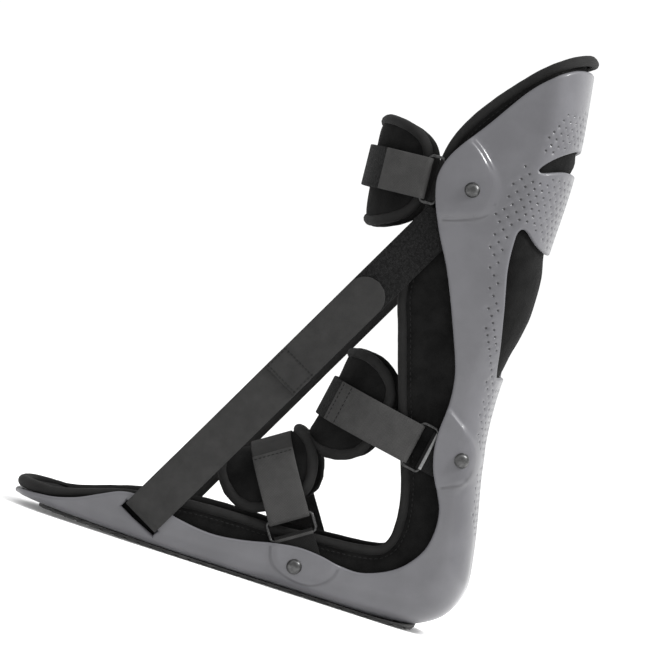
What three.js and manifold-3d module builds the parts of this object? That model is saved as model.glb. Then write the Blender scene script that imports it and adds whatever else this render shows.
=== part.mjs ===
// Night splint for plantar fasciitis: a moulded shell, a padded liner, three cross straps and
// two tension straps.
// Millimetres. +X runs from toe to heel, +Z is up, the rings are on the -Y side and the sole rests on Z = 0.
import * as THREE from "three";
import { mergeVertices } from "three/addons/utils/BufferGeometryUtils.js";
import Module from "manifold-3d";

const wasm = await Module();
wasm.setup();

// Driving dimensions
const shellWall = 3;
const raisedHeight = 2; // how far the raised pads round the rivets stand out
const pocketFloor = 0.1; // how far out the pocket behind a raised pad reaches
const linerThick = 6;
const linerGapSole = 0.5; // between liner and shell along the sole and up the back
const linerGapWall = 3.8; // between liner and shell at the side walls, where straps pass
const bindingRadius = 3;
const outsoleThick = 2.5;
const clearance = 0.3; // between pieces that touch
const webbingWidth = 24.5;
const webbingThick = 1.2;
const wireRadius = 1;
const rivetRadius = 4.7;
const rivetDome = 2.6;
const rivetRim = 0.25; // share of the dome's height at its rim
const shankRadius = 2;
const shankDepth = 4.2; // below the shell's outer face
const rivetHoleLength = 16;
const padThick = 8;
const padBindingRadius = 2.6;
const padFullness = 3.4; // exponent of a pad's oval
const padSegments = 28; // round a pad's rim
const waistReach = 20; // along a pad from its front
const padRimTuck = 1; // how far a pad's rim sits inside its binding's line
const wireGap = 0.25; // between a ring's wire and the webbing round it
const ringSideGap = 0.6; // between a ring's sides and the strap
const ringCorner = 2.4;
const pocketSideGap = 0.7;
const pocketEndGap = 1;
const pocketFront = 12; // how far in front of the fold a pocket's cutter starts
const pocketMouth = -6; // where a strap's far end leaves its pocket, from the fold
const leadStep = 1;
const leadRise = 0.5; // the far end's step out of the pocket to the front's path
const roomHeight = 8; // height of the room kept clear for the shell
const toeTip = -139.8;
const toeRoundStart = -76; // the plan narrows in front of this
const toeFullness = 3.2; // exponent of the toe's rounded plan
const toeHalf = 59; // half width of that plan
const toeBindingInset = 11; // the liner binding's line inside that plan, at the sides
const legRayAngle = 184; // cross sections up the back slope 4 degrees down to the front
const heelPivot = { x: 61.2, z: 66.6 }; // round the heel, cross sections fan out about this point
const halfSpan = 80; // half the length of a cutting prism across the splint
const behindShell = 160; // X of the back of cutting prisms
const belowShell = -20; // Z of their bottom
const aboveShell = 400; // Z of their top

// Cross sections along the outer face, from the toe along the sole, round the heel and up the back.
// x, z: middle of the section; flat: half of the flat middle; width: half width at the walls;
// corner: depth of the rounded corner; reach: how deep the walls may go.
const sections = [
  { x: -142.5, z: 6.3, flat: 3, width: 13, corner: 10, reach: 40 },
  { x: -139, z: 6.15, flat: 14, width: 24, corner: 10, reach: 40 },
  { x: -134, z: 5.85, flat: 28, width: 38, corner: 10, reach: 41 },
  { x: -126, z: 5.4, flat: 37, width: 47, corner: 10, reach: 42 },
  { x: -114, z: 4.8, flat: 42.5, width: 52.5, corner: 10, reach: 44 },
  { x: -97, z: 4.1, flat: 44, width: 54, corner: 10, reach: 46 },
  { x: -80, z: 3.5, flat: 43.5, width: 53.5, corner: 10, reach: 48 },
  { x: -45, z: 2.7, flat: 42, width: 52.5, corner: 10.5, reach: 50 },
  { x: -10, z: 2.5, flat: 38, width: 49, corner: 11, reach: 50 },
  { x: 30, z: 2.5, flat: 32.5, width: 45.5, corner: 12, reach: 52 },
  { x: 65, z: 2.5, flat: 28, width: 43.5, corner: 14, reach: 54 },
  { x: 90, z: 2.7, flat: 24, width: 42.5, corner: 17, reach: 56 },
  { x: 108.4, z: 4.8, flat: 20, width: 42, corner: 19, reach: 60 },
  { x: 122, z: 12.2, flat: 18, width: 42, corner: 20, reach: 64 },
  { x: 128.5, z: 20.5, flat: 17, width: 42, corner: 20, reach: 66 },
  { x: 132, z: 34, flat: 16, width: 42, corner: 19, reach: 64 },
  { x: 129.7, z: 53, flat: 16, width: 43.2, corner: 17, reach: 62 },
  { x: 125.6, z: 73, flat: 17, width: 44.8, corner: 15, reach: 66 },
  { x: 120.9, z: 93, flat: 18, width: 46.2, corner: 13, reach: 76 },
  { x: 116.8, z: 113, flat: 18, width: 46.6, corner: 13, reach: 88 },
  { x: 114.3, z: 136, flat: 18, width: 48.2, corner: 15, reach: 94 },
  { x: 114.2, z: 158, flat: 17, width: 50.5, corner: 17, reach: 96 },
  { x: 118.2, z: 196, flat: 16, width: 54, corner: 20, reach: 98 },
  { x: 117.2, z: 235, flat: 16, width: 56.4, corner: 21, reach: 98 },
  { x: 117.6, z: 275, flat: 16, width: 57.4, corner: 21, reach: 98 },
  { x: 116.2, z: 301, flat: 16, width: 58, corner: 21, reach: 96 },
  { x: 113.4, z: 322.5, flat: 16, width: 58.5, corner: 21, reach: 94 },
  { x: 109.9, z: 345, flat: 16, width: 59, corner: 21, reach: 92 },
  { x: 106, z: 368, flat: 16, width: 59.5, corner: 21, reach: 90 },
];
const halfSteps = [12, 13, 14, 15, 16]; // rows with one more section after them, where the spine bends

// Front edge of the shell in side view, from the toe to the top of the cuff
const shellEdge = [
  [-150, 9.2], [-126, 9.2], [-111.6, 11.5], [-97.9, 16.7], [-87.3, 22], [-76.7, 27], [-67.9, 28.3],
  [-55, 26.5], [-41.5, 22.7], [-19, 19.9], [-1.1, 21.7], [21.8, 26.7], [33.7, 28.1], [46.3, 27.3],
  [59.3, 25], [71.6, 25], [86.3, 30.7], [95.2, 37.6], [103, 49.4], [105.3, 62.4], [103.9, 74.3],
  [99.5, 83.9], [93.6, 95.5], [90.5, 106.8], [89.7, 118.9], [90.5, 131.4], [90.1, 142.4], [88.1, 154],
  [79.4, 177], [65.2, 209.3], [53.5, 230.2], [45.5, 249.1], [43.4, 259.5], [44.8, 268.5], [48.3, 276.7],
  [62.8, 298.3], [79, 323.1], [87.8, 332.8], [97, 340.1], [106.5, 345], [135, 347],
];

// Front edge of the bound liner in side view, from the toe to the top
const linerEdge = [
  [-107.8, 18.7], [-88.3, 25], [-77.1, 28.4], [-66.7, 30.5], [-34.9, 34.7], [-5.7, 35.9], [12.7, 36],
  [42.7, 38.4], [66.5, 40.6], [76.9, 43.4], [80.6, 49], [81.5, 60.8], [79.2, 75.5], [72.9, 95], [60.9, 128],
  [48.3, 166.9], [41.6, 188.1], [40.6, 212.9], [41.2, 243.4], [41.6, 268.6], [43.6, 281.7], [50.6, 297.8],
  [63.1, 316.3], [81, 336.9], [98, 352], [108, 355.3],
];
const linerToeRun = [[-160, 17], [-126, 16.8]]; // the liner's edge carried on past the toe
const linerTopRun = [[135, 356]]; // and past the back
const toeBindingHeight = 13.6;
const bindingJoint = 6; // length left to the curve where the binding turns at the back and at the toe

// Openings through the back, in side view; both run out behind the shell
const windowEdge = [
  [113.2, 157], [111.8, 164], [110, 175.3], [105, 198], [102, 209.3], [99.3, 220.7], [98, 234.4],
  [98.4, 243.1], [100.6, 245.4], [103.5, 244.7], [110.5, 239], [118.5, 234.6],
];
const notchEdge = [
  [120, 301.5], [106.5, 290.4], [99.6, 283], [98.6, 281], [100.5, 280.2], [114.3, 285], [120, 285.4],
];

// Raised pads round the rivets, in side view
const raisedCalf = [
  [30, 292], [56, 287.9], [70.9, 277], [79, 267], [80.5, 256], [77, 246], [66, 240], [50, 235.2], [30, 233],
];
const raisedAnkle = [
  [80, 138], [93, 131.6], [104.9, 123.2], [113.6, 114], [115.8, 103.7], [113.6, 94], [104, 88], [80, 82],
];
const raisedSole = [
  [14, 40], [16.5, 24.3], [21.2, 13.6], [33, 8.4], [46.5, 8.6], [56.2, 15.7], [59, 25.9], [60, 40],
];

// Outsole: half of its plan from heel to toe, and how its flat underside rises at both ends
const outsolePlan = [
  [107, 22], [100, 29], [80, 30], [40, 33], [0, 38.5], [-45, 43.5], [-80, 43], [-105, 36], [-118, 23],
  [-124, 8],
];
const outsoleFlat = { start: -20, end: 92 };
const toeSpring = 3.4;
const heelSpring = 2;
const outsoleLeast = 0.8; // least thickness
const wallLevel = 26; // a height on the foot's walls

// Cross straps. fold: where the strap turns round its ring; angle: from +X to the strap's forward direction;
// depth: fold to the front of the strap; lead: straight length before it curves; wall: half width of the
// shell there; tuck: ring plane below the shell's outer face; squareness: exponent of the front's oval;
// overlap: length of the layer that is folded back; tabLength: from the ring into the pocket;
// pad shift and tilt: its middle off the strap's middle line, and how that grows towards the front;
// pad waist: share of its height that it loses at the front; pad back: how much further in it sits.
const crossStraps = [
  {
    name: "calf", fold: [36.6, 256.5], angle: 184, depth: 37.9, lead: 0, tuck: 2.95, wall: 57,
    squareness: 2.5, overlap: 25, rivet: [65.3, 258.3], ringLength: 5.6, tabLength: 28,
    pad: { halfLength: 64, halfHeight: 33.2, shift: -6, tilt: 0.12, waist: 0.08, back: 2.2 },
  },
  {
    name: "ankle", fold: [76.8, 106.7], angle: 170, depth: 60.2, lead: 13, tuck: 3.1, wall: 46.3,
    squareness: 2.2, overlap: 50, rivet: [107.2, 105.8], ringLength: 10.8, tabLength: 22.5,
    pad: { halfLength: 54, halfHeight: 32.5, shift: -11, tilt: 0, waist: 0.14, back: 0 },
  },
  {
    name: "forefoot", fold: [21.5, 42.7], angle: 123.5, depth: 48.5, lead: 5, tuck: 3.1, wall: 45.9,
    squareness: 2.2, overlap: 34, rivet: [33.5, 16.4], ringLength: 11.6, tabLength: 19.5,
    pad: { halfLength: 57, halfHeight: 31, shift: 4, tilt: 0, waist: 0.25, back: 0 },
  },
];

// Tension straps, in side view: from the fold in the toe wall's slot up to the cuff
const tension = {
  low: [-60.5, 16.3],
  high: [51.1, 230.5],
  tuckedEnd: 8, // length of the strap behind the shell's edge
  layerInset: 4.7, // middle of the inner layer below the shell's outer face
  outerStandOff: 1.3, // middle of the outer layer above the shell's outer face
  foldStart: -0.1, // the fold's end up the strap, which leaves part of the slot open below it
  closesFrom: 26, // distances up the strap where the outer layer starts to close on the inner one,
  closesAt: 40, // has come a quarter of the way,
  joinsAt: 62, // and meets it
  foldedLength: 128,
  tabLength: 68,
};
const slotLength = 27;
const slotStart = -3;
const slotEnd = 2;

// Materials
function finish(color, roughness, metalness = 0) {
  return new THREE.MeshStandardMaterial({ color, roughness, metalness });
}
const shellPlastic = finish("#7d7d81", 0.45);
const outsoleRubber = finish("#2c2c2c", 0.85);
const linerCloth = finish("#1e1e1e", 0.9);
const bindingTape = finish("#303030", 0.85);
const padCloth = finish("#242424", 0.92);
const webbing = finish("#444442", 0.75);
const loopPile = finish("#232323", 0.95);
const hookTab = finish("#3f3f3d", 0.6);
const steelWire = finish("#8a8a8c", 0.35, 0.9);
const rivetMetal = finish("#77777a", 0.45, 0.7);

// Solids and meshes
function solidFrom(geometry) {
  geometry.deleteAttribute("normal");
  geometry.deleteAttribute("uv");
  const merged = mergeVertices(geometry, 1e-4);
  return new wasm.Manifold(
    new wasm.Mesh({
      numProp: 3,
      vertProperties: merged.getAttribute("position").array,
      triVerts: new Uint32Array(merged.index.array),
    }),
  );
}

function geometryFrom(solid) {
  const mesh = solid.getMesh();
  return new THREE.BufferGeometry()
    .setAttribute("position", new THREE.BufferAttribute(mesh.vertProperties, 3))
    .setIndex(new THREE.BufferAttribute(mesh.triVerts, 1));
}

function piece(name, geometry, material) {
  const mesh = new THREE.Mesh(geometry, material);
  mesh.name = name;
  return mesh;
}

function surfaceGeometry(points, triangles) {
  const position = new Float32Array(points.flatMap((p) => [p.x, p.y, p.z]));
  return new THREE.BufferGeometry()
    .setAttribute("position", new THREE.BufferAttribute(position, 3))
    .setIndex(triangles);
}

// A smooth run through listed points, as points of a 2D curve
function smoothRun(points, steps) {
  const curve = new THREE.CatmullRomCurve3(
    points.map(([a, b]) => new THREE.Vector3(a, b, 0)),
    false,
    "centripetal",
  );
  return curve.getPoints(steps).map((p) => [p.x, p.y]);
}

// A closed tube with one ring of corners at each listed point
class ClosedLoop extends THREE.Curve {
  constructor(points) {
    super();
    this.points = points;
  }
  getPoint(t) {
    const count = this.points.length;
    const place = (((t % 1) + 1) % 1) * count;
    const i = Math.floor(place);
    return this.points[i % count].clone().lerp(this.points[(i + 1) % count], place - i);
  }
  getPointAt(u) {
    return this.getPoint(u);
  }
  getTangentAt(u) {
    const step = 0.01 / this.points.length;
    return this.getPoint(u + step).sub(this.getPoint(u - step)).normalize();
  }
}

function closedTube(points, radius, sides) {
  return solidFrom(new THREE.TubeGeometry(new ClosedLoop(points), points.length, radius, sides, true));
}

// A prism across the whole splint whose side view is a closed outline
function sidePrism(outline) {
  const shape = new THREE.Shape(outline.map(([x, z]) => new THREE.Vector2(x, z)));
  const geometry = new THREE.ExtrudeGeometry(shape, { depth: 2 * halfSpan, bevelEnabled: false });
  geometry.rotateX(Math.PI / 2).translate(0, halfSpan, 0);
  return solidFrom(geometry);
}

// An upright prism whose plan is a closed outline
function planPrism(outline) {
  const shape = new THREE.Shape(outline.map(([x, y]) => new THREE.Vector2(x, y)));
  const geometry = new THREE.ExtrudeGeometry(shape, { depth: aboveShell - belowShell, bevelEnabled: false });
  return solidFrom(geometry.translate(0, 0, belowShell));
}

// The trough's outer face: section values between the table's rows, as a smooth run along the spine
const columns = ["x", "z", "flat", "width", "corner", "reach"];
const stations = [0];
for (let i = 1; i < sections.length; i++) {
  const gap = Math.hypot(sections[i].x - sections[i - 1].x, sections[i].z - sections[i - 1].z);
  stations.push(stations[i - 1] + gap);
}

function slopeAt(i, column) {
  const low = Math.max(i - 1, 0);
  const high = Math.min(i + 1, sections.length - 1);
  return (sections[high][column] - sections[low][column]) / (stations[high] - stations[low]);
}

function sectionAt(distance) {
  let i = 0;
  while (i < sections.length - 2 && stations[i + 1] < distance) i++;
  const span = stations[i + 1] - stations[i];
  const t = (distance - stations[i]) / span;
  const found = {};
  for (const column of columns) {
    const start = sections[i][column];
    const end = sections[i + 1][column];
    const pull = (1 - t) * slopeAt(i, column) - t * slopeAt(i + 1, column);
    const bend = pull * span * t * (1 - t);
    const blend = t * t * (3 - 2 * t);
    found[column] = start + (end - start) * blend + bend;
  }
  const toPivot = Math.atan2(heelPivot.z - found.z, heelPivot.x - found.x);
  const degrees = (THREE.MathUtils.radToDeg(toPivot) + 360) % 360;
  const ray = THREE.MathUtils.degToRad(THREE.MathUtils.clamp(degrees, 90, legRayAngle));
  found.rayX = Math.cos(ray);
  found.rayZ = Math.sin(ray);
  return found;
}

// A point of the outer face. across: 0 in the middle, 1 where the corner starts, 2 where the wall starts,
// 3 at its reach
function facePoint(distance, across) {
  const s = sectionAt(distance);
  const side = Math.sign(across);
  const way = Math.abs(across);
  const turn = THREE.MathUtils.clamp(way - 1, 0, 1) * (Math.PI / 2);
  const half = way < 1 ? s.flat * way : s.flat + (s.width - s.flat) * Math.sin(turn);
  const corner = s.corner * (1 - Math.cos(turn));
  const depth = corner + Math.max(way - 2, 0) * (s.reach - s.corner);
  return new THREE.Vector3(s.x + s.rayX * depth, side * half, s.z + s.rayZ * depth);
}

function faceNormal(distance, across) {
  const step = 0.02;
  const along = facePoint(distance + step, across).sub(facePoint(distance - step, across));
  const over = facePoint(distance, across + step).sub(facePoint(distance, across - step));
  return over.cross(along).normalize();
}

function offsetPoint(distance, across, offset) {
  return facePoint(distance, across).addScaledVector(faceNormal(distance, across), offset);
}

// Where a side view point lies on the -Y half of the face
function locate(x, z) {
  const miss = (distance) => {
    const s = sectionAt(distance);
    return s.rayX * (z - s.z) - s.rayZ * (x - s.x);
  };
  const samples = 200;
  const length = stations[stations.length - 1];
  let low = 0;
  let bestDepth = Infinity;
  let best = { distance: 0, across: -3 };
  for (let i = 0; i < samples; i++) {
    low = (length * i) / samples;
    let high = (length * (i + 1)) / samples;
    if (miss(low) * miss(high) > 0) continue;
    const rising = miss(high) > miss(low);
    for (let k = 0; k < 40; k++) {
      const middle = (low + high) / 2;
      if (miss(middle) > 0 === rising) high = middle;
      else low = middle;
    }
    const s = sectionAt(low);
    const depth = s.rayX * (x - s.x) + s.rayZ * (z - s.z);
    if (depth < -1 || depth > bestDepth) continue;
    bestDepth = depth;
    const turn = Math.acos(THREE.MathUtils.clamp(1 - depth / s.corner, 0, 1));
    const onCorner = 1 + turn / (Math.PI / 2);
    const onWall = 2 + (depth - s.corner) / (s.reach - s.corner);
    best = { distance: low, across: depth < s.corner ? -onCorner : -onWall };
  }
  return best;
}

// A slab between two offsets of the face, over the whole trough
const acrossSteps = [-3, -2, -1.67, -1.33, -1, 1, 1.33, 1.67, 2, 3];
const alongSteps = stations.slice(0, -1).flatMap((distance, i) =>
  halfSteps.includes(i) ? [distance, (distance + stations[i + 1]) / 2] : [distance],
);
alongSteps.push(stations[stations.length - 1]);

function slab(inner, outer) {
  const rows = alongSteps.length;
  const count = acrossSteps.length;
  const points = [];
  for (const offset of [inner, outer]) {
    for (const distance of alongSteps) {
      for (const across of acrossSteps) {
        points.push(offsetPoint(distance, across, offset(Math.abs(across))));
      }
    }
  }
  const triangles = [];
  const quad = (a, b, c, d) => triangles.push(a, b, c, a, c, d);
  const top = rows * count;
  for (let i = 0; i + 1 < rows; i++) {
    for (let j = 0; j + 1 < count; j++) {
      const a = i * count + j;
      quad(a, a + count, a + count + 1, a + 1);
      quad(top + a, top + a + 1, top + a + count + 1, top + a + count);
    }
    const first = i * count;
    const last = first + count - 1;
    quad(first, top + first, top + first + count, first + count);
    quad(last, last + count, top + last + count, top + last);
  }
  for (let j = 0; j + 1 < count; j++) {
    const end = (rows - 1) * count + j;
    quad(j, j + 1, top + j + 1, top + j);
    quad(end, top + end, top + end + 1, end + 1);
  }
  return solidFrom(surfaceGeometry(points, triangles));
}

// Plan of the rounded toe, set in from the shell's own plan at its tip and at its sides
function toePlan(setIn, sideIn, steps) {
  const half = toeHalf - sideIn;
  const length = toeRoundStart - toeTip - setIn;
  const points = [];
  for (let i = 0; i <= steps; i++) {
    const angle = (Math.PI * i) / steps - Math.PI / 2;
    const bulge = 2 / toeFullness;
    const x = toeRoundStart - length * Math.cos(angle) ** bulge;
    points.push([x, half * Math.sign(angle) * Math.abs(Math.sin(angle)) ** bulge]);
  }
  return points;
}

function toePrism(setIn) {
  const wide = [
    [toeRoundStart, halfSpan],
    [behindShell, halfSpan],
    [behindShell, -halfSpan],
    [toeRoundStart, -halfSpan],
  ];
  return planPrism([...toePlan(setIn, 0, 18), ...wide]);
}

// An outline moved sideways by a distance, to the right of its direction
function movedRight(points, distance) {
  return points.map((p, i) => {
    const before = points[Math.max(i - 1, 0)];
    const after = points[Math.min(i + 1, points.length - 1)];
    const length = Math.hypot(after[0] - before[0], after[1] - before[1]);
    return [
      p[0] + (distance * (after[1] - before[1])) / length,
      p[1] - (distance * (after[0] - before[0])) / length,
    ];
  });
}

// Closes a front edge round the outside of the sole and the back
function outsideOutline(edge) {
  const start = edge[0];
  const end = edge[edge.length - 1];
  return [...edge, [behindShell, end[1]], [behindShell, belowShell], [start[0], belowShell]];
}

const even = (offset) => () => offset;
const shellSide = sidePrism(outsideOutline(smoothRun(shellEdge, 72)));
const shellRoom = slab(even(pocketFloor - clearance), even(roomHeight)).intersect(shellSide);

// Frame of a cross strap: forward, across and downward directions, with the ring's bar at the origin
function strapFrame(strap) {
  const angle = THREE.MathUtils.degToRad(strap.angle);
  const forward = new THREE.Vector3(Math.cos(angle), 0, Math.sin(angle));
  const across = new THREE.Vector3(0, 1, 0);
  const widthwise = forward.clone().cross(across);
  const origin = new THREE.Vector3(strap.fold[0], 0, strap.fold[1]);
  const matrix = new THREE.Matrix4().makeBasis(forward, across, widthwise).setPosition(origin);
  return { forward, widthwise, origin, matrix };
}

// A band of even thickness along a flat path, as a closed outline
function bandOutline(path, thickness) {
  const left = movedRight(path, -thickness / 2);
  const right = movedRight(path, thickness / 2);
  return [...left, ...right.reverse()];
}

function bandGeometry(outline, width, hole) {
  const shape = new THREE.Shape(outline.map(([p, y]) => new THREE.Vector2(p, y)));
  if (hole) shape.holes.push(hole);
  const geometry = new THREE.ExtrudeGeometry(shape, { depth: width, bevelEnabled: false, curveSegments: 8 });
  return geometry.translate(0, 0, -width / 2);
}

// A frame with +Y along the face's outward normal at a rivet
const nearSide = -1;
const farSide = 1;

function rivetPlace([x, z], side) {
  const at = locate(x, z);
  const point = facePoint(at.distance, at.across);
  const normal = faceNormal(at.distance, at.across);
  if (side === farSide) {
    point.y = -point.y;
    normal.y = -normal.y;
  }
  const turn = new THREE.Quaternion().setFromUnitVectors(new THREE.Vector3(0, 1, 0), normal);
  return new THREE.Matrix4().compose(point, turn, new THREE.Vector3(1, 1, 1));
}

function rivetHole(rivet, side) {
  const radius = shankRadius + clearance;
  const hole = new THREE.CylinderGeometry(radius, radius, rivetHoleLength, 10);
  return solidFrom(hole.applyMatrix4(rivetPlace(rivet, side)));
}

function makeRivet(name, rivet, side) {
  const seat = raisedHeight + clearance;
  const profile = [[0, -shankDepth], [shankRadius, -shankDepth], [shankRadius, seat], [rivetRadius, seat]];
  const domeSteps = 3;
  for (let i = 1; i <= domeSteps; i++) {
    const angle = (i * Math.PI) / 2 / domeSteps;
    const height = rivetDome * (rivetRim + (1 - rivetRim) * Math.sin(angle));
    profile.push([rivetRadius * Math.cos(angle), seat + height]);
  }
  profile[profile.length - 1][0] = 0;
  const dome = new THREE.LatheGeometry(profile.map(([r, h]) => new THREE.Vector2(r, h)), 10);
  return piece(name, dome.applyMatrix4(rivetPlace(rivet, side)), rivetMetal);
}

// The path of a cross strap's front, from its far end to the ring: half a rounded oval
function frontPath(strap, half, grow, steps) {
  const bulge = 2 / strap.squareness;
  const points = [];
  for (let i = 0; i <= steps; i++) {
    const angle = (Math.PI * i) / steps;
    const p = strap.lead + (strap.depth - strap.lead + grow) * Math.abs(Math.sin(angle)) ** bulge;
    const y = (half + grow) * Math.sign(Math.cos(angle)) * Math.abs(Math.cos(angle)) ** bulge;
    points.push([p, y]);
  }
  return points;
}

const layerRadius = wireRadius + wireGap + webbingThick / 2; // a wire's middle to the webbing's round it

function ringLevel(strap) {
  return strap.wall - strap.tuck;
}

function makeStrap(strap) {
  const level = ringLevel(strap);
  const half = level - layerRadius;
  const inPocket = -strap.ringLength - strap.tabLength;
  const path = [[inPocket, level], [pocketMouth, level], [strap.lead / 2 + leadStep, half + leadRise]];
  path.push(...frontPath(strap, half, 0, 22).slice(2, -1));
  const turnSteps = 6;
  for (let i = 0; i <= turnSteps; i++) {
    const angle = Math.PI / 2 + (Math.PI * i) / turnSteps;
    path.push([layerRadius * Math.cos(angle), -level + layerRadius * Math.sin(angle)]);
  }
  const outer = frontPath(strap, half, webbingThick + clearance, 30).reverse();
  let length = strap.lead;
  for (let i = 2; length < strap.overlap; i++) {
    path.push(outer[i]);
    length += Math.hypot(outer[i + 1][0] - outer[i][0], outer[i + 1][1] - outer[i][1]);
  }
  const { matrix } = strapFrame(strap);
  const band = solidFrom(bandGeometry(bandOutline(path, webbingThick), webbingWidth).applyMatrix4(matrix));
  const pierced = band.subtract(shellRoom).subtract(rivetHole(strap.rivet, farSide));
  return piece(strap.name + "_strap", geometryFrom(pierced), webbing);
}

function makeRing(strap) {
  const { matrix } = strapFrame(strap);
  const reach = webbingWidth / 2 + ringSideGap + wireRadius;
  const back = -strap.ringLength;
  const points = [];
  const corners = [[0, -reach, 0], [0, reach, 1], [back, reach, 2], [back, -reach, 3]];
  for (const [p, h, turn] of corners) {
    const centreP = p - ringCorner * (p === 0 ? 1 : -1);
    const centreH = h - ringCorner * Math.sign(h);
    for (const part of [0, 0.33, 0.67, 1]) {
      const angle = -Math.PI / 2 + (turn + part) * (Math.PI / 2);
      const along = centreP + ringCorner * Math.cos(angle);
      const high = centreH + ringCorner * Math.sin(angle);
      points.push(new THREE.Vector3(along, -ringLevel(strap), high));
    }
  }
  const wire = closedTube(points, wireRadius, 6);
  return piece(strap.name + "_ring", geometryFrom(wire).applyMatrix4(matrix), steelWire);
}

function makeRingTab(strap) {
  const eye = layerRadius + webbingThick / 2;
  const half = webbingThick + clearance / 2;
  const centre = [-strap.ringLength, -ringLevel(strap)];
  const end = centre[0] - strap.tabLength;
  const outline = [[end, centre[1] - half], [end, centre[1] + half]];
  const turnSteps = 10;
  const spread = Math.PI - Math.asin(half / eye);
  for (let i = 0; i <= turnSteps; i++) {
    const angle = spread - (2 * spread * i) / turnSteps;
    outline.push([centre[0] + eye * Math.cos(angle), centre[1] + eye * Math.sin(angle)]);
  }
  const hole = new THREE.Path().absarc(centre[0], centre[1], wireRadius + wireGap, 0, 2 * Math.PI, false);
  const { matrix } = strapFrame(strap);
  const tab = solidFrom(bandGeometry(outline, webbingWidth - 1, hole).applyMatrix4(matrix));
  const pierced = tab.subtract(shellRoom).subtract(rivetHole(strap.rivet, nearSide));
  return piece(strap.name + "_ring_tab", geometryFrom(pierced), webbing);
}

// Pads bend round the inside of their strap
const padDrop = webbingThick / 2 + clearance + padThick / 2; // strap middle to pad middle

function padPlace(strap) {
  const half = ringLevel(strap) - layerRadius;
  const path = frontPath(strap, half, -padDrop - strap.pad.back, 60);
  const lengths = [0];
  for (let i = 1; i < path.length; i++) {
    const step = Math.hypot(path[i][0] - path[i - 1][0], path[i][1] - path[i - 1][1]);
    lengths.push(lengths[i - 1] + step);
  }
  const total = lengths[lengths.length - 1];
  const { matrix } = strapFrame(strap);
  return (along, high, out) => {
    const wanted = total / 2 + along;
    let i = 0;
    while (i < path.length - 2 && lengths[i + 1] < wanted) i++;
    const t = (wanted - lengths[i]) / (lengths[i + 1] - lengths[i]);
    const low = Math.max(i - 1, 0);
    const top = Math.min(i + 2, path.length - 1);
    const tangent = [path[top][0] - path[low][0], path[top][1] - path[low][1]];
    const size = Math.hypot(tangent[0], tangent[1]);
    const p = path[i][0] + t * (path[i + 1][0] - path[i][0]) - (tangent[1] / size) * out;
    const y = path[i][1] + t * (path[i + 1][1] - path[i][1]) + (tangent[0] / size) * out;
    return new THREE.Vector3(p, y, high + strap.pad.shift + strap.pad.tilt * p).applyMatrix4(matrix);
  };
}

function padRim(strap, angle, scale, setIn) {
  const bulge = 2 / padFullness;
  const along = Math.sign(Math.cos(angle)) * Math.abs(Math.cos(angle)) ** bulge;
  const high = Math.sign(Math.sin(angle)) * Math.abs(Math.sin(angle)) ** bulge;
  const place = along * (strap.pad.halfLength - setIn) * scale;
  const pinch = 1 - strap.pad.waist * Math.exp(-((place / waistReach) ** 2));
  return [place, high * (strap.pad.halfHeight - setIn) * scale * pinch];
}

function makePad(strap) {
  const place = padPlace(strap);
  const rings = [
    { scale: 1, swell: 0 },
    { scale: 0.88, swell: 0.72 },
    { scale: 0.55, swell: 1 },
  ];
  const setIn = 2 * padBindingRadius + 3 * clearance - padRimTuck;
  const points = [];
  for (const face of [1, -1]) {
    for (const ring of rings) {
      for (let i = 0; i < padSegments; i++) {
        const [along, high] = padRim(strap, (2 * Math.PI * i) / padSegments, ring.scale, setIn);
        points.push(place(along, high, (face * ring.swell * padThick) / 2));
      }
    }
    points.push(place(0, 0, (face * padThick) / 2));
  }
  const perFace = rings.length * padSegments + 1;
  const triangles = [];
  for (const face of [0, 1]) {
    const add = (a, b, c) => (face ? triangles.push(a, b, c) : triangles.push(a, c, b));
    for (let i = 0; i < padSegments; i++) {
      const next = (i + 1) % padSegments;
      for (let k = 0; k + 1 < rings.length; k++) {
        const low = face * perFace + k * padSegments;
        const high = low + padSegments;
        add(low + i, low + next, high + next);
        add(low + i, high + next, high + i);
      }
      const inner = face * perFace + (rings.length - 1) * padSegments;
      add(inner + i, inner + next, face * perFace + rings.length * padSegments);
    }
  }
  const solid = solidFrom(surfaceGeometry(points, triangles));
  return piece(strap.name + "_pad", geometryFrom(solid), padCloth);
}

function makePadBinding(strap) {
  const place = padPlace(strap);
  const rim = [];
  for (let i = 0; i < padSegments; i++) {
    const [along, high] = padRim(strap, (2 * Math.PI * i) / padSegments, 1, padBindingRadius - padRimTuck);
    rim.push(place(along, high, 0));
  }
  return piece(strap.name + "_pad_binding", geometryFrom(closedTube(rim, padBindingRadius, 5)), bindingTape);
}

// Shell: trough wall inside its outline, with raised pads, pockets, window, notch, slots and rivet holes
function pocketOutline(strap) {
  const { forward, widthwise, origin } = strapFrame(strap);
  const half = webbingWidth / 2 + pocketSideGap;
  const inwards = strap.ringLength + strap.tabLength + pocketEndGap;
  const corner = (p, h) => {
    const point = origin.clone().addScaledVector(forward, p).addScaledVector(widthwise, h);
    return [point.x, point.z];
  };
  return [
    corner(pocketFront, -half),
    corner(-inwards, -half),
    corner(-inwards, half),
    corner(pocketFront, half),
  ];
}

function tensionDirection() {
  const run = [tension.high[0] - tension.low[0], tension.high[1] - tension.low[1]];
  const length = Math.hypot(...run);
  return { along: [run[0] / length, run[1] / length], length };
}

function slotOutline() {
  const { along } = tensionDirection();
  const corner = (t, w) => [
    tension.low[0] + along[0] * t - along[1] * w,
    tension.low[1] + along[1] * t + along[0] * w,
  ];
  const half = slotLength / 2;
  return [corner(slotStart, -half), corner(slotEnd, -half), corner(slotEnd, half), corner(slotStart, half)];
}

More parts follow.
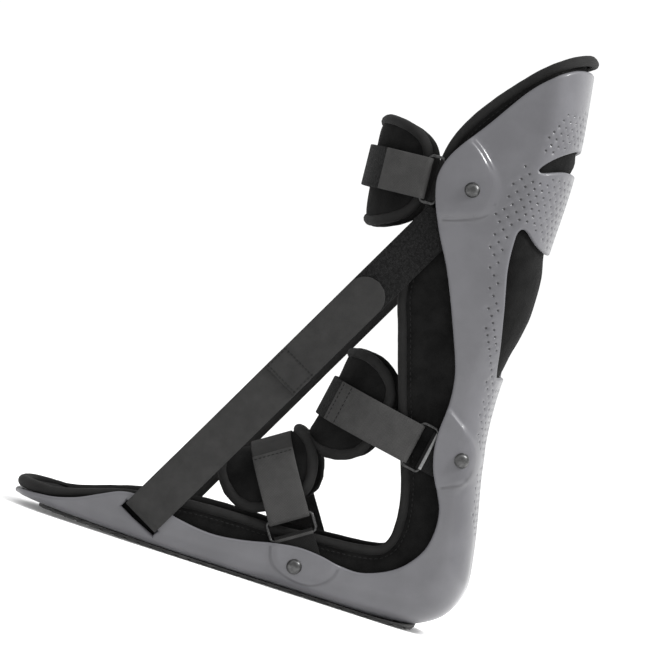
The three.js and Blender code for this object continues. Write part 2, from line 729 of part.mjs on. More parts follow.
function makeShell() {
  const outline = shellSide.intersect(toePrism(0));
  let shell = slab(even(-shellWall), even(0));
  const raisedSlab = slab(even(-shellWall / 2), even(raisedHeight));
  for (const raised of [raisedCalf, raisedAnkle, raisedSole]) {
    shell = shell.add(raisedSlab.intersect(sidePrism(smoothRun(raised, 16))));
  }
  shell = shell.intersect(outline);
  const pocketSlab = slab(even(-shellWall - 2), even(pocketFloor));
  for (const strap of crossStraps) {
    shell = shell.subtract(pocketSlab.intersect(sidePrism(pocketOutline(strap))));
    for (const side of [nearSide, farSide]) shell = shell.subtract(rivetHole(strap.rivet, side));
  }
  for (const edge of [windowEdge, notchEdge]) {
    const start = [behindShell, edge[0][1]];
    const end = [behindShell, edge[edge.length - 1][1]];
    shell = shell.subtract(sidePrism([...smoothRun(edge, 2 * edge.length), end, start]));
  }
  shell = shell.subtract(sidePrism(slotOutline()));
  return piece("shell", geometryFrom(shell.decompose()[0]), shellPlastic);
}

function makeOutsole() {
  const heelEnd = outsolePlan[0][0];
  const toeEnd = outsolePlan[outsolePlan.length - 1][0];
  const steps = 24;
  const bottom = [];
  const top = [];
  for (let i = 0; i <= steps; i++) {
    const x = toeEnd + ((heelEnd - toeEnd) * i) / steps;
    const toeShare = Math.max(outsoleFlat.start - x, 0) / (outsoleFlat.start - toeEnd);
    const heelShare = Math.max(x - outsoleFlat.end, 0) / (heelEnd - outsoleFlat.end);
    const lift = toeSpring * toeShare ** 2 + heelSpring * heelShare ** 2;
    const under = sectionAt(locate(x, wallLevel).distance).z - clearance;
    bottom.push([x, lift]);
    top.push([x, THREE.MathUtils.clamp(under, lift + outsoleLeast, lift + outsoleThick)]);
  }
  const side = sidePrism([...bottom, ...top.reverse()]);
  const half = smoothRun(outsolePlan, 30);
  const plan = planPrism([...half, ...half.map(([x, y]) => [x, -y]).reverse()]);
  return piece("outsole", geometryFrom(side.intersect(plan)), outsoleRubber);
}

// Liner: padded wall inside the shell, and the tape bound round its edge
function linerOuter(way) {
  const wallShare = THREE.MathUtils.smoothstep(way, 1.2, 1.9);
  return -shellWall - THREE.MathUtils.lerp(linerGapSole, linerGapWall, wallShare);
}

function makeLiner() {
  const run = smoothRun([...linerToeRun, ...linerEdge, ...linerTopRun], 80);
  const setIn = 2 * bindingRadius + 2 * clearance;
  const outline = sidePrism(outsideOutline(movedRight(run, setIn)));
  const wall = slab((way) => linerOuter(way) - linerThick, linerOuter);
  const liner = wall.intersect(outline).intersect(toePrism(setIn));
  return piece("liner", geometryFrom(liner.decompose()[0]), linerCloth);
}

function makeLinerBinding() {
  const edge = movedRight(smoothRun(linerEdge, 60), bindingRadius);
  const near = edge.map(([x, z]) => {
    const at = locate(x, z);
    return offsetPoint(at.distance, at.across, linerOuter(Math.abs(at.across)) - linerThick / 2);
  });
  const backMiddle = near[near.length - 1].clone();
  const kept = near.filter((p) => Math.abs(p.y) > bindingJoint);
  backMiddle.y = 0;
  const toe = toePlan(bindingRadius, toeBindingInset, 20)
    .filter(([x]) => x < linerEdge[0][0] - bindingJoint)
    .map(([x, y]) => new THREE.Vector3(x, y, toeBindingHeight));
  const far = kept.map((p) => new THREE.Vector3(p.x, -p.y, p.z)).reverse();
  const points = [...kept, backMiddle, ...far, ...toe.reverse()];
  const loop = new THREE.CatmullRomCurve3(points, true, "centripetal");
  const tube = closedTube(loop.getSpacedPoints(100).slice(0, -1), bindingRadius, 5);
  return piece("liner_binding", geometryFrom(tube), bindingTape);
}

// Tension straps, made on the -Y side and mirrored
function tensionFrame() {
  const halfAt = ([x, z]) => {
    const at = locate(x, z);
    return -facePoint(at.distance, at.across).y;
  };
  const onInnerLayer = ([x, z]) => new THREE.Vector3(x, tension.layerInset - halfAt([x, z]), z);
  const low = onInnerLayer(tension.low);
  const high = onInnerLayer(tension.high);
  const along = high.clone().sub(low);
  const length = along.length();
  along.normalize();
  const { along: flat } = tensionDirection();
  const widthwise = new THREE.Vector3(flat[1], 0, -flat[0]);
  const outwards = widthwise.clone().cross(along);
  const matrix = new THREE.Matrix4().makeBasis(along, outwards, widthwise).setPosition(low);
  return { matrix, length };
}

function mirrored(geometry) {
  const flipped = geometry.clone().scale(1, -1, 1);
  const index = flipped.index.array;
  for (let i = 0; i < index.length; i += 3) [index[i], index[i + 1]] = [index[i + 1], index[i]];
  return flipped;
}

const layerStep = webbingThick + clearance; // between the middles of two webbing layers that lie together

function makeTensionStraps() {
  const { matrix, length } = tensionFrame();
  const turn = (tension.layerInset + tension.outerStandOff) / 2;
  const middle = tension.foldStart + turn;
  const path = [[length + tension.tuckedEnd, 0], [length / 2, 0], [middle, 0]];
  const turnSteps = 8;
  for (let i = 1; i <= turnSteps; i++) {
    const angle = -Math.PI / 2 - (Math.PI * i) / turnSteps;
    path.push([middle + turn * Math.cos(angle), turn + turn * Math.sin(angle)]);
  }
  const rise = 2 * turn;
  path.push([tension.closesFrom, rise], [tension.closesAt, THREE.MathUtils.lerp(rise, layerStep, 0.25)]);
  path.push([tension.joinsAt, layerStep], [tension.foldedLength, layerStep]);
  const band = bandGeometry(bandOutline(path, webbingThick), webbingWidth);
  const near = geometryFrom(solidFrom(band.applyMatrix4(matrix)));
  return [piece("tension_strap_near", near, loopPile), piece("tension_strap_far", mirrored(near), loopPile)];
}

function makeTensionTabs() {
  const { matrix } = tensionFrame();
  const half = webbingWidth / 2;
  const start = tension.foldedLength + clearance;
  const end = start + tension.tabLength;
  const shape = new THREE.Shape();
  shape.moveTo(start, -half);
  shape.lineTo(end - half, -half);
  shape.absarc(end - half, 0, half, -Math.PI / 2, Math.PI / 2, false);
  shape.lineTo(start, half);
  const settings = { depth: webbingThick, bevelEnabled: false, curveSegments: 10 };
  const geometry = new THREE.ExtrudeGeometry(shape, settings);
  geometry.rotateX(-Math.PI / 2).translate(0, layerStep - webbingThick / 2, 0).applyMatrix4(matrix);
  const near = geometryFrom(solidFrom(geometry));
  return [piece("tension_tab_near", near, hookTab), piece("tension_tab_far", mirrored(near), hookTab)];
}

const splint = new THREE.Group();
splint.add(makeShell(), makeOutsole(), makeLiner(), makeLinerBinding());
for (const strap of crossStraps) {
  splint.add(makeStrap(strap), makePad(strap), makePadBinding(strap), makeRing(strap), makeRingTab(strap));
  splint.add(makeRivet(strap.name + "_rivet_near", strap.rivet, nearSide));
  splint.add(makeRivet(strap.name + "_rivet_far", strap.rivet, farSide));
}
splint.add(...makeTensionStraps(), ...makeTensionTabs());

export default splint;
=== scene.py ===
import math
import bmesh
import bpy
import numpy as np
from mathutils import Matrix, Vector
from mathutils.geometry import delaunay_2d_cdt
from mathutils.kdtree import KDTree


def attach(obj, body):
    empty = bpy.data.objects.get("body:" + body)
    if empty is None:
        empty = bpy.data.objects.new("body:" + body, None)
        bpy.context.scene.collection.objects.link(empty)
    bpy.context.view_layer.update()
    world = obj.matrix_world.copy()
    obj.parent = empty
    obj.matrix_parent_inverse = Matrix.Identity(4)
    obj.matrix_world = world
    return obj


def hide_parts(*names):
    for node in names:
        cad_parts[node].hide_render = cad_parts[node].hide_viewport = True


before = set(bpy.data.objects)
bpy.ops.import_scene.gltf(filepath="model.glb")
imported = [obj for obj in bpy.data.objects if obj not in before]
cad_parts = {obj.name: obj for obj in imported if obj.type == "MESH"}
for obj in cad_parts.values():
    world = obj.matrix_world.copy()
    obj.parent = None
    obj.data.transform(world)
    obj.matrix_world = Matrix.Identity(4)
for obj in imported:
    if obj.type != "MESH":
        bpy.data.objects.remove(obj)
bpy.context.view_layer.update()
scene = bpy.context.scene
mm = 0.001  # every size below is in millimetres, meshes are in metres


# one socket of a node tree, with arithmetic
class Sock:
    def __init__(self, tree, out):
        self.tree = tree
        self.out = out

    def make(self, kind, settings=None, sockets=None, out=0):
        node = self.tree.nodes.new(kind)
        for key, value in (settings or {}).items():
            setattr(node, key, value)
        for key, value in (sockets or {}).items():
            self.feed(node.inputs[key], value)
        return Sock(self.tree, node.outputs[out])

    def feed(self, socket, value):
        if isinstance(value, Sock):
            self.tree.links.new(value.out, socket)
        else:
            socket.default_value = value

    def calc(self, operation, first, second=0.0):
        return self.make("ShaderNodeMath", {"operation": operation}, {0: first, 1: second})

    def __add__(self, other):
        return self.calc("ADD", self, other)

    def __radd__(self, other):
        return self.calc("ADD", other, self)

    def __sub__(self, other):
        return self.calc("SUBTRACT", self, other)

    def __rsub__(self, other):
        return self.calc("SUBTRACT", other, self)

    def __mul__(self, other):
        return self.calc("MULTIPLY", self, other)

    def __rmul__(self, other):
        return self.calc("MULTIPLY", other, self)

    def __neg__(self):
        return self.calc("MULTIPLY", self, -1.0)

    def sine(self):
        return self.calc("SINE", self)

    def ramp(self, low, high):
        limits = {"Value": self, "From Min": low, "From Max": high}
        return self.make("ShaderNodeMapRange", {"interpolation_type": "SMOOTHSTEP"}, limits)

    def noise(self, scale, detail, rough):
        return self.make("ShaderNodeTexNoise", None,
                         {"Vector": self, "Scale": scale, "Detail": detail, "Roughness": rough})

    def cells(self, scale):
        return self.make("ShaderNodeTexVoronoi", None, {"Vector": self, "Scale": scale})

    def stretched(self, x, y, z):
        return self.make("ShaderNodeVectorMath", {"operation": "MULTIPLY"}, {0: self, 1: (x, y, z)})

    def axis(self, which):
        return self.make("ShaderNodeSeparateXYZ", None, {0: self}, which)

    def between(self, first, second):
        # this value picks between two colours
        return self.make("ShaderNodeMix", {"data_type": "RGBA"}, {0: self, 6: first, 7: second}, 2)

    def bump(self, strength, depth, under=None):
        node = {"Height": self, "Strength": strength, "Distance": depth}
        if under is not None:
            node["Normal"] = under
        return self.make("ShaderNodeBump", None, node)


def grey(level, warm=0.0):
    return (level * (1 + warm), level, level * (1 - warm), 1.0)


# a new material, its shader and the piece's own coordinates
def newFinish(name):
    finish = bpy.data.materials.new(name)
    finish.use_nodes = True
    tree = finish.node_tree
    tree.nodes.clear()
    output = tree.nodes.new("ShaderNodeOutputMaterial")
    shader = tree.nodes.new("ShaderNodeBsdfPrincipled")
    tree.links.new(shader.outputs[0], output.inputs[0])
    coords = tree.nodes.new("ShaderNodeTexCoord")
    return finish, shader, Sock(tree, coords.outputs["Object"])


def setShader(spot, shader, values):
    for key, value in values.items():
        spot.feed(shader.inputs[key], value)


# shell tones; the darkest is painted shade for the dimples and the feet of the raised fields
shellLook = {"dark": 0.0725, "light": 0.087, "edge": 0.092, "paintedShade": 0.026, "rough": 0.4, "gloss": 0.4,
             "tint": (1.008, 1.0, 1.085)}


# a faintly violet grey
def shellTone(level):
    red, green, blue = shellLook["tint"]
    return (level * red, level * green, level * blue, 1.0)


def makeShellPlastic():
    finish, shader, spot = newFinish("shellPlastic")
    cloud = spot.noise(38, 4, 0.55)
    grain = spot.noise(1700, 2, 0.6)
    scuff = spot.stretched(1, 1, 0.16).noise(420, 5, 0.65).ramp(0.6, 0.74)
    # the rim paint: above 0 worn edges, below 0 painted shade in the dimples and at the feet of the raised
    # fields
    rim = spot.make("ShaderNodeAttribute", {"attribute_name": "rim"}, None, 2)
    dark, light, edge, paintedShade = [shellTone(shellLook[key]) for key in ("dark", "light", "edge", "paintedShade")]
    body = cloud.ramp(0.3, 0.7).between(dark, light)
    wornAndShaded = (rim.ramp(0, 1) * 0.7 + scuff * 0.12).between(body, edge)
    # painted shade: the rim paint below 0 darkens the dimples and the feet of the raised fields
    wornAndShaded = ((-rim).ramp(0, 1) * 0.75).between(wornAndShaded, paintedShade)
    bare = rim.ramp(0, 1) + (-rim).ramp(0, 1)
    setShader(spot, shader, {
        "Base Color": wornAndShaded,
        "Roughness": shellLook["rough"] + 0.10 * (cloud - 0.5) + 0.14 * scuff + 0.15 * bare,
        "Normal": grain.bump(0.10, 0.0002, cloud.bump(0.12, 0.0012)),
        "Coat Weight": (shellLook["gloss"] - 0.25 * scuff) * (1 - 0.75 * bare),
        "Coat Roughness": 0.15,
        "Specular IOR Level": 0.28,
    })
    return finish


def makeOutsoleRubber():
    finish, shader, spot = newFinish("outsoleRubber")
    dust = spot.noise(160, 4, 0.6)
    grain = spot.noise(2600, 2, 0.6)
    body = dust.ramp(0.35, 0.75).between(grey(0.045), grey(0.08, 0.02))
    setShader(spot, shader, {
        "Base Color": body,
        "Roughness": 0.78 + 0.14 * dust,
        "Normal": grain.bump(0.25, 0.0002),
    })
    return finish


# brushed knit: short fibres over a fine loop pattern
def makeBrushedCloth(name, dark, light, fuzz):
    finish, shader, spot = newFinish(name)
    loops = spot.cells(1150)
    fibre = spot.noise(2300, 3, 0.7)
    nap = spot.noise(85, 4, 0.6)
    tone = (nap * 0.6 + fibre * 0.4).ramp(0.32, 0.68)
    setShader(spot, shader, {
        "Base Color": tone.between(grey(dark), grey(light, 0.01)),
        "Roughness": 0.86 + 0.1 * fibre,
        "Normal": loops.bump(0.35, 0.0004, fibre.bump(0.3, 0.0003, nap.bump(0.2, 0.0012))),
        "Sheen Weight": fuzz,
        "Sheen Roughness": 0.45,
        "Specular IOR Level": 0.06,
    })
    return finish


# woven tape: two crossing thread waves on the piece's own UV map, in millimetres
def makeTape(name, dark, light, pitch, depth, sheen):
    finish, shader, spot = newFinish(name)
    uv = spot.make("ShaderNodeTexCoord", None, None, "UV")
    turn = 2 * math.pi / pitch
    along = (uv.axis(0) * turn).sine()
    across = (uv.axis(1) * turn).sine()
    weave = along * across
    fibre = spot.noise(2600, 3, 0.7)
    wear = spot.noise(120, 4, 0.6)
    tone = (weave * 0.12 + 0.2 + wear * 0.5 + fibre * 0.25).ramp(0.25, 0.85)
    setShader(spot, shader, {
        "Base Color": tone.between(grey(dark, 0.01), grey(light, 0.015)),
        "Roughness": 0.70 + 0.16 * fibre,
        "Normal": weave.bump(0.5, depth, fibre.bump(0.25, 0.0003)),
        "Sheen Weight": sheen,
        "Sheen Roughness": 0.5,
        "Specular IOR Level": 0.12,
    })
    return finish


# loop pile: tight curls that catch light at their tops
def makeLoopPile():
    finish, shader, spot = newFinish("loopPile")
    curls = spot.cells(1500)
    tufts = spot.cells(620)
    fibre = spot.noise(2900, 3, 0.7)
    tone = (1 - curls * 0.9) * 0.3 + (1 - tufts * 0.9) * 0.25 + fibre * 0.5
    setShader(spot, shader, {
        "Base Color": tone.ramp(0.35, 0.95).between(grey(0.003), grey(0.022)),
        "Roughness": 0.9,
        "Normal": curls.bump(0.8, 0.0006, tufts.bump(0.5, 0.0008)),
        "Sheen Weight": 0.03,
        "Sheen Roughness": 0.5,
        "Specular IOR Level": 0.08,
    })
    return finish


def makeRingWire(name, dark, light):
    finish, shader, spot = newFinish(name)
    draw = spot.noise(900, 3, 0.6)
    setShader(spot, shader, {
        "Base Color": draw.ramp(0.3, 0.7).between(grey(dark), grey(light)),
        "Metallic": 1.0,
        "Roughness": 0.30 + 0.15 * draw,
        "Normal": draw.bump(0.08, 0.0002),
    })
    return finish


def makeRivetMetal():
    finish, shader, spot = newFinish("rivetMetal")
    wear = spot.noise(420, 4, 0.6)
    setShader(spot, shader, {
        "Base Color": wear.ramp(0.35, 0.75).between(grey(0.05), grey(0.095)),
        "Metallic": 0.85,
        "Roughness": 0.26 + 0.2 * wear,
        "Normal": wear.bump(0.12, 0.0004),
    })
    return finish


def makeThread(name, dark, light):
    finish, shader, spot = newFinish(name)
    twist = spot.noise(2400, 2, 0.6)
    setShader(spot, shader, {
        "Base Color": twist.ramp(0.3, 0.7).between(grey(dark), grey(light)),
        "Roughness": 0.62 + 0.12 * twist,
        "Normal": twist.bump(0.3, 0.0002),
        "Specular IOR Level": 0.15,
    })
    return finish


shellPlastic = makeShellPlastic()
outsoleRubber = makeOutsoleRubber()
linerCloth = makeBrushedCloth("linerCloth", 0.003, 0.008, 0.005)
padCloth = makeBrushedCloth("padCloth", 0.003, 0.008, 0.006)
bindingTape = makeTape("bindingTape", 0.0065, 0.0155, 0.9, 0.0003, 0.008)
webbing = makeTape("webbing", 0.025, 0.049, 1.15, 0.0004, 0.015)
smoothTape = makeTape("smoothTape", 0.0165, 0.034, 0.75, 0.0003, 0.01)
hookTab = makeTape("hookTab", 0.0155, 0.0305, 0.6, 0.0003, 0.01)
darkTape = makeTape("darkTape", 0.003, 0.008, 1.15, 0.0004, 0.006)
loopPile = makeLoopPile()
ringWire = makeRingWire("ringWire", 0.028, 0.07)
brightBar = makeRingWire("brightBar", 0.13, 0.19)
rivetMetal = makeRivetMetal()
seamThread = makeThread("seamThread", 0.005, 0.011)
edgeThread = makeThread("edgeThread", 0.004, 0.009)
print("finishes made:", len(bpy.data.materials))


# plane and space curve helpers, arrays of points in millimetres
def smoothStep(value, low, high):
    t = np.clip((np.asarray(value, float) - low) / (high - low), 0, 1)
    return t * t * (3 - 2 * t)


def unit(vectors):
    return vectors / np.linalg.norm(vectors, axis=-1, keepdims=True)


def lengthsOf(points):
    return np.concatenate([[0], np.cumsum(np.linalg.norm(np.diff(points, axis=0), axis=1))])


def evenRun(points, gap, closed=False):
    run = np.vstack([points, points[:1]]) if closed else np.asarray(points, float)
    lengths = lengthsOf(run)
    count = max(2, int(round(lengths[-1] / gap)))
    wanted = np.linspace(0, lengths[-1], count + 1)
    if closed:
        wanted = wanted[:-1]
    return np.stack([np.interp(wanted, lengths, run[:, k]) for k in range(run.shape[1])], axis=1)


def smoothRun(points, gap, closed=False):
    given = [np.array(p, float) for p in points]
    perSpan = 16
    if closed:
        padded = [given[-1]] + given + given[:2]
    else:
        padded = [2 * given[0] - given[1]] + given + [2 * given[-1] - given[-2]]
    fine = []
    for i in range(1, len(padded) - 2):
        before, start, end, after = padded[i - 1:i + 3]
        ta = np.linalg.norm(start - before) ** 0.5
        tb = np.linalg.norm(end - start) ** 0.5
        tc = np.linalg.norm(after - end) ** 0.5
        leave = ((start - before) / ta - (end - before) / (ta + tb) + (end - start) / tb) * tb
        arrive = ((end - start) / tb - (after - start) / (tb + tc) + (after - end) / tc) * tb
        for t in np.arange(perSpan) / perSpan:
            bend = -3 * start + 3 * end - 2 * leave - arrive
            twist = 2 * start - 2 * end + leave + arrive
            fine.append(start + leave * t + bend * t * t + twist * t ** 3)
    if not closed:
        fine.append(given[-1])
    return evenRun(np.array(fine), gap, closed)


def movedRight(points, distance):
    heading = unit(np.gradient(points, axis=0))
    return points + np.stack([heading[:, 1], -heading[:, 0]], axis=1) * distance


def insideOf(points, outline):
    x, y = points[:, 0][:, None], points[:, 1][:, None]
    x0, y0 = outline[:, 0], outline[:, 1]
    x1, y1 = np.roll(x0, -1), np.roll(y0, -1)
    rise = np.where(y1 == y0, 1.0, y1 - y0)
    hits = ((y0 > y) != (y1 > y)) & (x < (x1 - x0) * (y - y0) / rise + x0)
    return hits.sum(axis=1) % 2 == 1


# distance inside a closed outline, negative outside, and the nearest outline point
def depthInside(points, outline):
    start, run = outline, np.roll(outline, -1, 0) - outline
    away = points[:, None, :] - start[None]
    share = np.clip((away * run).sum(2) / np.maximum((run * run).sum(1), 1e-9), 0, 1)
    gaps = np.linalg.norm(away - run[None] * share[..., None], axis=2)
    nearest = gaps.argmin(axis=1)
    least = gaps[np.arange(len(points)), nearest]
    return np.where(insideOf(points, outline), least, -least), nearest


def nearTree(points):
    tree = KDTree(len(points))
    for i, p in enumerate(points):
        tree.insert(p, i)
    tree.balance()
    return tree


def gapsTo(tree, points):
    return np.array([tree.find(p)[2] for p in points])


# mesh helpers
def newPiece(name, points, faces, finishes, corners=None, sides=None):
    mesh = bpy.data.meshes.new(name)
    mesh.from_pydata((np.asarray(points, float) * mm).tolist(), [], faces)
    if corners is not None:
        layer = mesh.uv_layers.new(name="UVMap")
        layer.data.foreach_set("uv", np.array([c for face in corners for c in face], float).ravel())
    for finish in finishes:
        mesh.materials.append(finish)
    if sides is not None:
        mesh.polygons.foreach_set("material_index", sides)
    mesh.polygons.foreach_set("use_smooth", [True] * len(mesh.polygons))
    mesh.update()
    piece = bpy.data.objects.new(name, mesh)
    scene.collection.objects.link(piece)
    return piece


def tidyMesh(piece, merge=0.002):
    work = bmesh.new()
    work.from_mesh(piece.data)
    bmesh.ops.remove_doubles(work, verts=work.verts, dist=merge * mm)
    bmesh.ops.recalc_face_normals(work, faces=work.faces)
    work.to_mesh(piece.data)
    work.free()


def settle(piece, nodes=()):
    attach(piece, "root")
    if nodes:
        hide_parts(*nodes)
    piece.data.calc_loop_triangles()
    print("piece", piece.name, len(piece.data.loop_triangles), "triangles")


def finalMesh(piece):
    graph = bpy.context.evaluated_depsgraph_get()
    return bpy.data.meshes.new_from_object(piece.evaluated_get(graph))


# four-sided faces between two rows of points
def loopFaces(upper, lower, closed=True):
    count = len(upper)
    faces = []
    for i in range(count if closed else count - 1):
        n = (i + 1) % count
        faces.append([int(upper[i]), int(upper[n]), int(lower[n]), int(lower[i])])
    return faces


# triangles over points in the plane, as numbers of those points
def triangulated(flat, edges, mode):
    result = delaunay_2d_cdt([Vector(p) for p in flat], edges, [], mode, 1e-5)
    source = [ids[0] for ids in result[3]]
    return np.array([[source[v] for v in face] for face in result[2]])


def roundAngles(count):
    return np.linspace(0, 2 * math.pi, count, endpoint=False)


# closed round tube along a line of points
def tubeParts(line, radii, sides):
    count = len(line)
    heading = unit(np.roll(line, -1, 0) - np.roll(line, 1, 0))
    aside = (0.31, 0.77, 0.55)  # any way that the line's start doesn't run
    first = np.cross(heading[0], aside)
    normals = [first / np.linalg.norm(first)]
    for i in range(1, count):
        moved = normals[-1] - heading[i] * normals[-1].dot(heading[i])
        normals.append(moved / np.linalg.norm(moved))
    last = normals[-1] - heading[0] * normals[-1].dot(heading[0])
    twist = math.atan2(np.cross(last, normals[0]).dot(heading[0]), last.dot(normals[0]))
    binormals = np.cross(heading, np.array(normals))
    lengths = lengthsOf(np.vstack([line, line[:1]]))
    points, faces, corners = [], [], []
    for i in range(count):
        j = (i + 1) % count
        girth = 2 * math.pi * radii[i] / sides
        for k in range(sides):
            n = (k + 1) % sides
            angle = 2 * math.pi * k / sides + twist * i / count
            out = math.cos(angle) * normals[i] + math.sin(angle) * binormals[i]
            points.append(line[i] + radii[i] * out)
            faces.append([i * sides + k, j * sides + k, j * sides + n, i * sides + n])
            corners.append([(lengths[i], k * girth), (lengths[i + 1], k * girth),
                            (lengths[i + 1], (k + 1) * girth), (lengths[i], (k + 1) * girth)])
    return points, faces, corners


# flat band along a line in its own plane, n by 2, with the width square to that plane
def bandParts(line, width, thick, widthShare=None):
    count = len(line)
    heading = unit(np.gradient(line, axis=0))
    normals = np.stack([-heading[:, 1], heading[:, 0]], axis=1)
    half = width / 2
    run = np.linspace(-1, 1, 11) * (half - 0.35 * thick)
    edge = [(half - 0.10 * thick, 0.36 * thick), (half, 0), (half - 0.10 * thick, -0.36 * thick)]
    profile = [(h, thick / 2) for h in run] + edge
    profile += [(-h, -n) for h, n in profile]
    share = np.ones(count) if widthShare is None else widthShare
    size = len(profile)
    lengths = lengthsOf(line)
    points, ups = [], []
    for i in range(count):
        for h, n in profile:
            points.append([line[i][0] + normals[i][0] * n, line[i][1] + normals[i][1] * n, h * share[i]])
            ups.append((lengths[i], h * share[i]))
    faces, corners, sides = [], [], []
    for i in range(count - 1):
        for k in range(size):
            n = (k + 1) % size
            face = [i * size + k, i * size + n, (i + 1) * size + n, (i + 1) * size + k]
            faces.append(face)
            corners.append([ups[v] for v in face])
            sides.append(0 if profile[k][1] + profile[n][1] > 0 else 1)
    for i, step in ((0, -1), (count - 1, 1)):
        face = [i * size + k for k in range(size)][::step]
        faces.append(face)
        corners.append([ups[v] for v in face])
        sides.append(0)
    return points, faces, corners, sides


# points on a band: along it, across it and out from its middle
def onBand(line, spots):
    line = np.vstack([2 * line[0] - line[1], line, 2 * line[-1] - line[-2]])
    lengths = lengthsOf(line) - np.linalg.norm(line[1] - line[0])
    heading = unit(np.gradient(line, axis=0))
    spots = np.asarray(spots, float)
    p, y, hp, hy = [np.interp(spots[:, 0], lengths, column) for column in
                    (line[:, 0], line[:, 1], heading[:, 0], heading[:, 1])]
    return np.stack([p - hy * spots[:, 2], y + hp * spots[:, 2], spots[:, 1]], axis=1)


# Geometry Nodes helpers: a tree with named inputs, and baking its result to a plain mesh
def newTree(name, inputs):
    tree = bpy.data.node_groups.new(name, "GeometryNodeTree")
    tree.interface.new_socket("Geometry", in_out="INPUT", socket_type="NodeSocketGeometry")
    for label, kind, value in inputs:
        socket = tree.interface.new_socket(label, in_out="INPUT", socket_type="NodeSocket" + kind)
        if value is not None:
            socket.default_value = value
    tree.interface.new_socket("Geometry", in_out="OUTPUT", socket_type="NodeSocketGeometry")
    entry = tree.nodes.new("NodeGroupInput")
    given = {socket.name: Sock(tree, socket) for socket in entry.outputs if socket.name}
    return tree, given


def endTree(tree, result, finish):
    real = result.make("GeometryNodeRealizeInstances", None, {0: result})
    smooth = real.make("GeometryNodeSetShadeSmooth", None, {0: real})
    dressed = smooth.make("GeometryNodeSetMaterial", None, {"Geometry": smooth, "Material": finish})
    output = tree.nodes.new("NodeGroupOutput")
    tree.links.new(dressed.out, output.inputs[0])


def runTree(piece, tree, values):
    modifier = piece.modifiers.new(tree.name, "NODES")
    modifier.node_group = tree
    names = {item.name: item.identifier for item in tree.interface.items_tree if item.in_out == "INPUT"}
    for label, value in values.items():
        modifier[names[label]] = value
    bpy.context.view_layer.update()
    mesh = finalMesh(piece)
    piece.modifiers.clear()
    piece.data = mesh
    return piece


def linePiece(name, lines, closed=False):
    points, edges = [], []
    for line in lines:
        base = len(points)
        points.extend((np.asarray(line) * mm).tolist())
        last = len(line) if closed else len(line) - 1
        edges.extend([(base + i, base + (i + 1) % len(line)) for i in range(last)])
    mesh = bpy.data.meshes.new(name)
    mesh.from_pydata(points, edges, [])
    piece = bpy.data.objects.new(name, mesh)
    scene.collection.objects.link(piece)
    return piece


def makeStitchTree():
    tree, given = newTree("stitchRow", [("Spacing", "Float", 0.003), ("Stitch Length", "Float", 0.002),
                                        ("Thread Width", "Float", 0.0006), ("Thread", "Material", None)])
    start = given["Geometry"]
    curve = start.make("GeometryNodeMeshToCurve", None, {"Mesh": start})
    even = curve.make("GeometryNodeResampleCurve", {"mode": "LENGTH"},
                      {"Curve": curve, "Length": given["Spacing"]})
    heading = start.make("GeometryNodeInputTangent")
    turn = start.make("FunctionNodeAlignRotationToVector", {"axis": "Z"}, {"Vector": heading})
    bead = start.make("GeometryNodeMeshUVSphere", None, {"Segments": 6, "Rings": 4, "Radius": 0.5})
    wide = given["Thread Width"]
    size = start.make("ShaderNodeCombineXYZ", None, {0: wide, 1: wide, 2: given["Stitch Length"]})
    row = start.make("GeometryNodeInstanceOnPoints", None,
                     {"Points": even, "Instance": bead, "Rotation": turn, "Scale": size})
    endTree(tree, row, given["Thread"])
    return tree


def makeWireTree():
    tree, given = newTree("bentWire", [("Wire Radius", "Float", 0.001), ("Wire", "Material", None)])
    start = given["Geometry"]
    curve = start.make("GeometryNodeMeshToCurve", None, {"Mesh": start})
    circle = start.make("GeometryNodeCurvePrimitiveCircle", None,
                        {"Resolution": 12, "Radius": given["Wire Radius"]})
    body = curve.make("GeometryNodeCurveToMesh", None, {"Curve": curve, "Profile Curve": circle})
    endTree(tree, body, given["Wire"])
    return tree


# one shape set on marked points, each turned to its own "facing"
def makeStudTree(name, axis):
    tree, given = newTree(name, [("Stud", "Object", None), ("Stud Size", "Float", 1.0),
                                 ("Finish", "Material", None)])
    start = given["Geometry"]
    facing = start.make("GeometryNodeInputNamedAttribute", {"data_type": "FLOAT_VECTOR"}, {"Name": "facing"})
    turn = start.make("FunctionNodeAlignRotationToVector", {"axis": axis}, {"Vector": facing})
    shape = start.make("GeometryNodeObjectInfo", None, {"Object": given["Stud"]}, "Geometry")
    studs = start.make("GeometryNodeInstanceOnPoints", None,
                       {"Points": start, "Instance": shape, "Rotation": turn, "Scale": given["Stud Size"]})
    endTree(tree, studs, given["Finish"])
    return tree


stitchTree = makeStitchTree()
wireTree = makeWireTree()
studTree = makeStudTree("setStuds", "Z")
treadTree = makeStudTree("treadBlocks", "X")


def stitchPiece(name, lines, spacing, length, width, thread):
    piece = linePiece(name, lines)
    sizes = {"Spacing": spacing * mm, "Stitch Length": length * mm, "Thread Width": width * mm}
    return runTree(piece, stitchTree, {**sizes, "Thread": thread})


def studPiece(name, tree, places, facings, stud, finish):
    piece = linePiece(name, [[p] for p in places])
    marks = piece.data.attributes.new("facing", "FLOAT_VECTOR", "POINT")
    marks.data.foreach_set("vector", np.asarray(facings, float).ravel())
    runTree(piece, tree, {"Stud": stud, "Stud Size": 1.0, "Finish": finish})
    bpy.data.objects.remove(stud)
    return piece


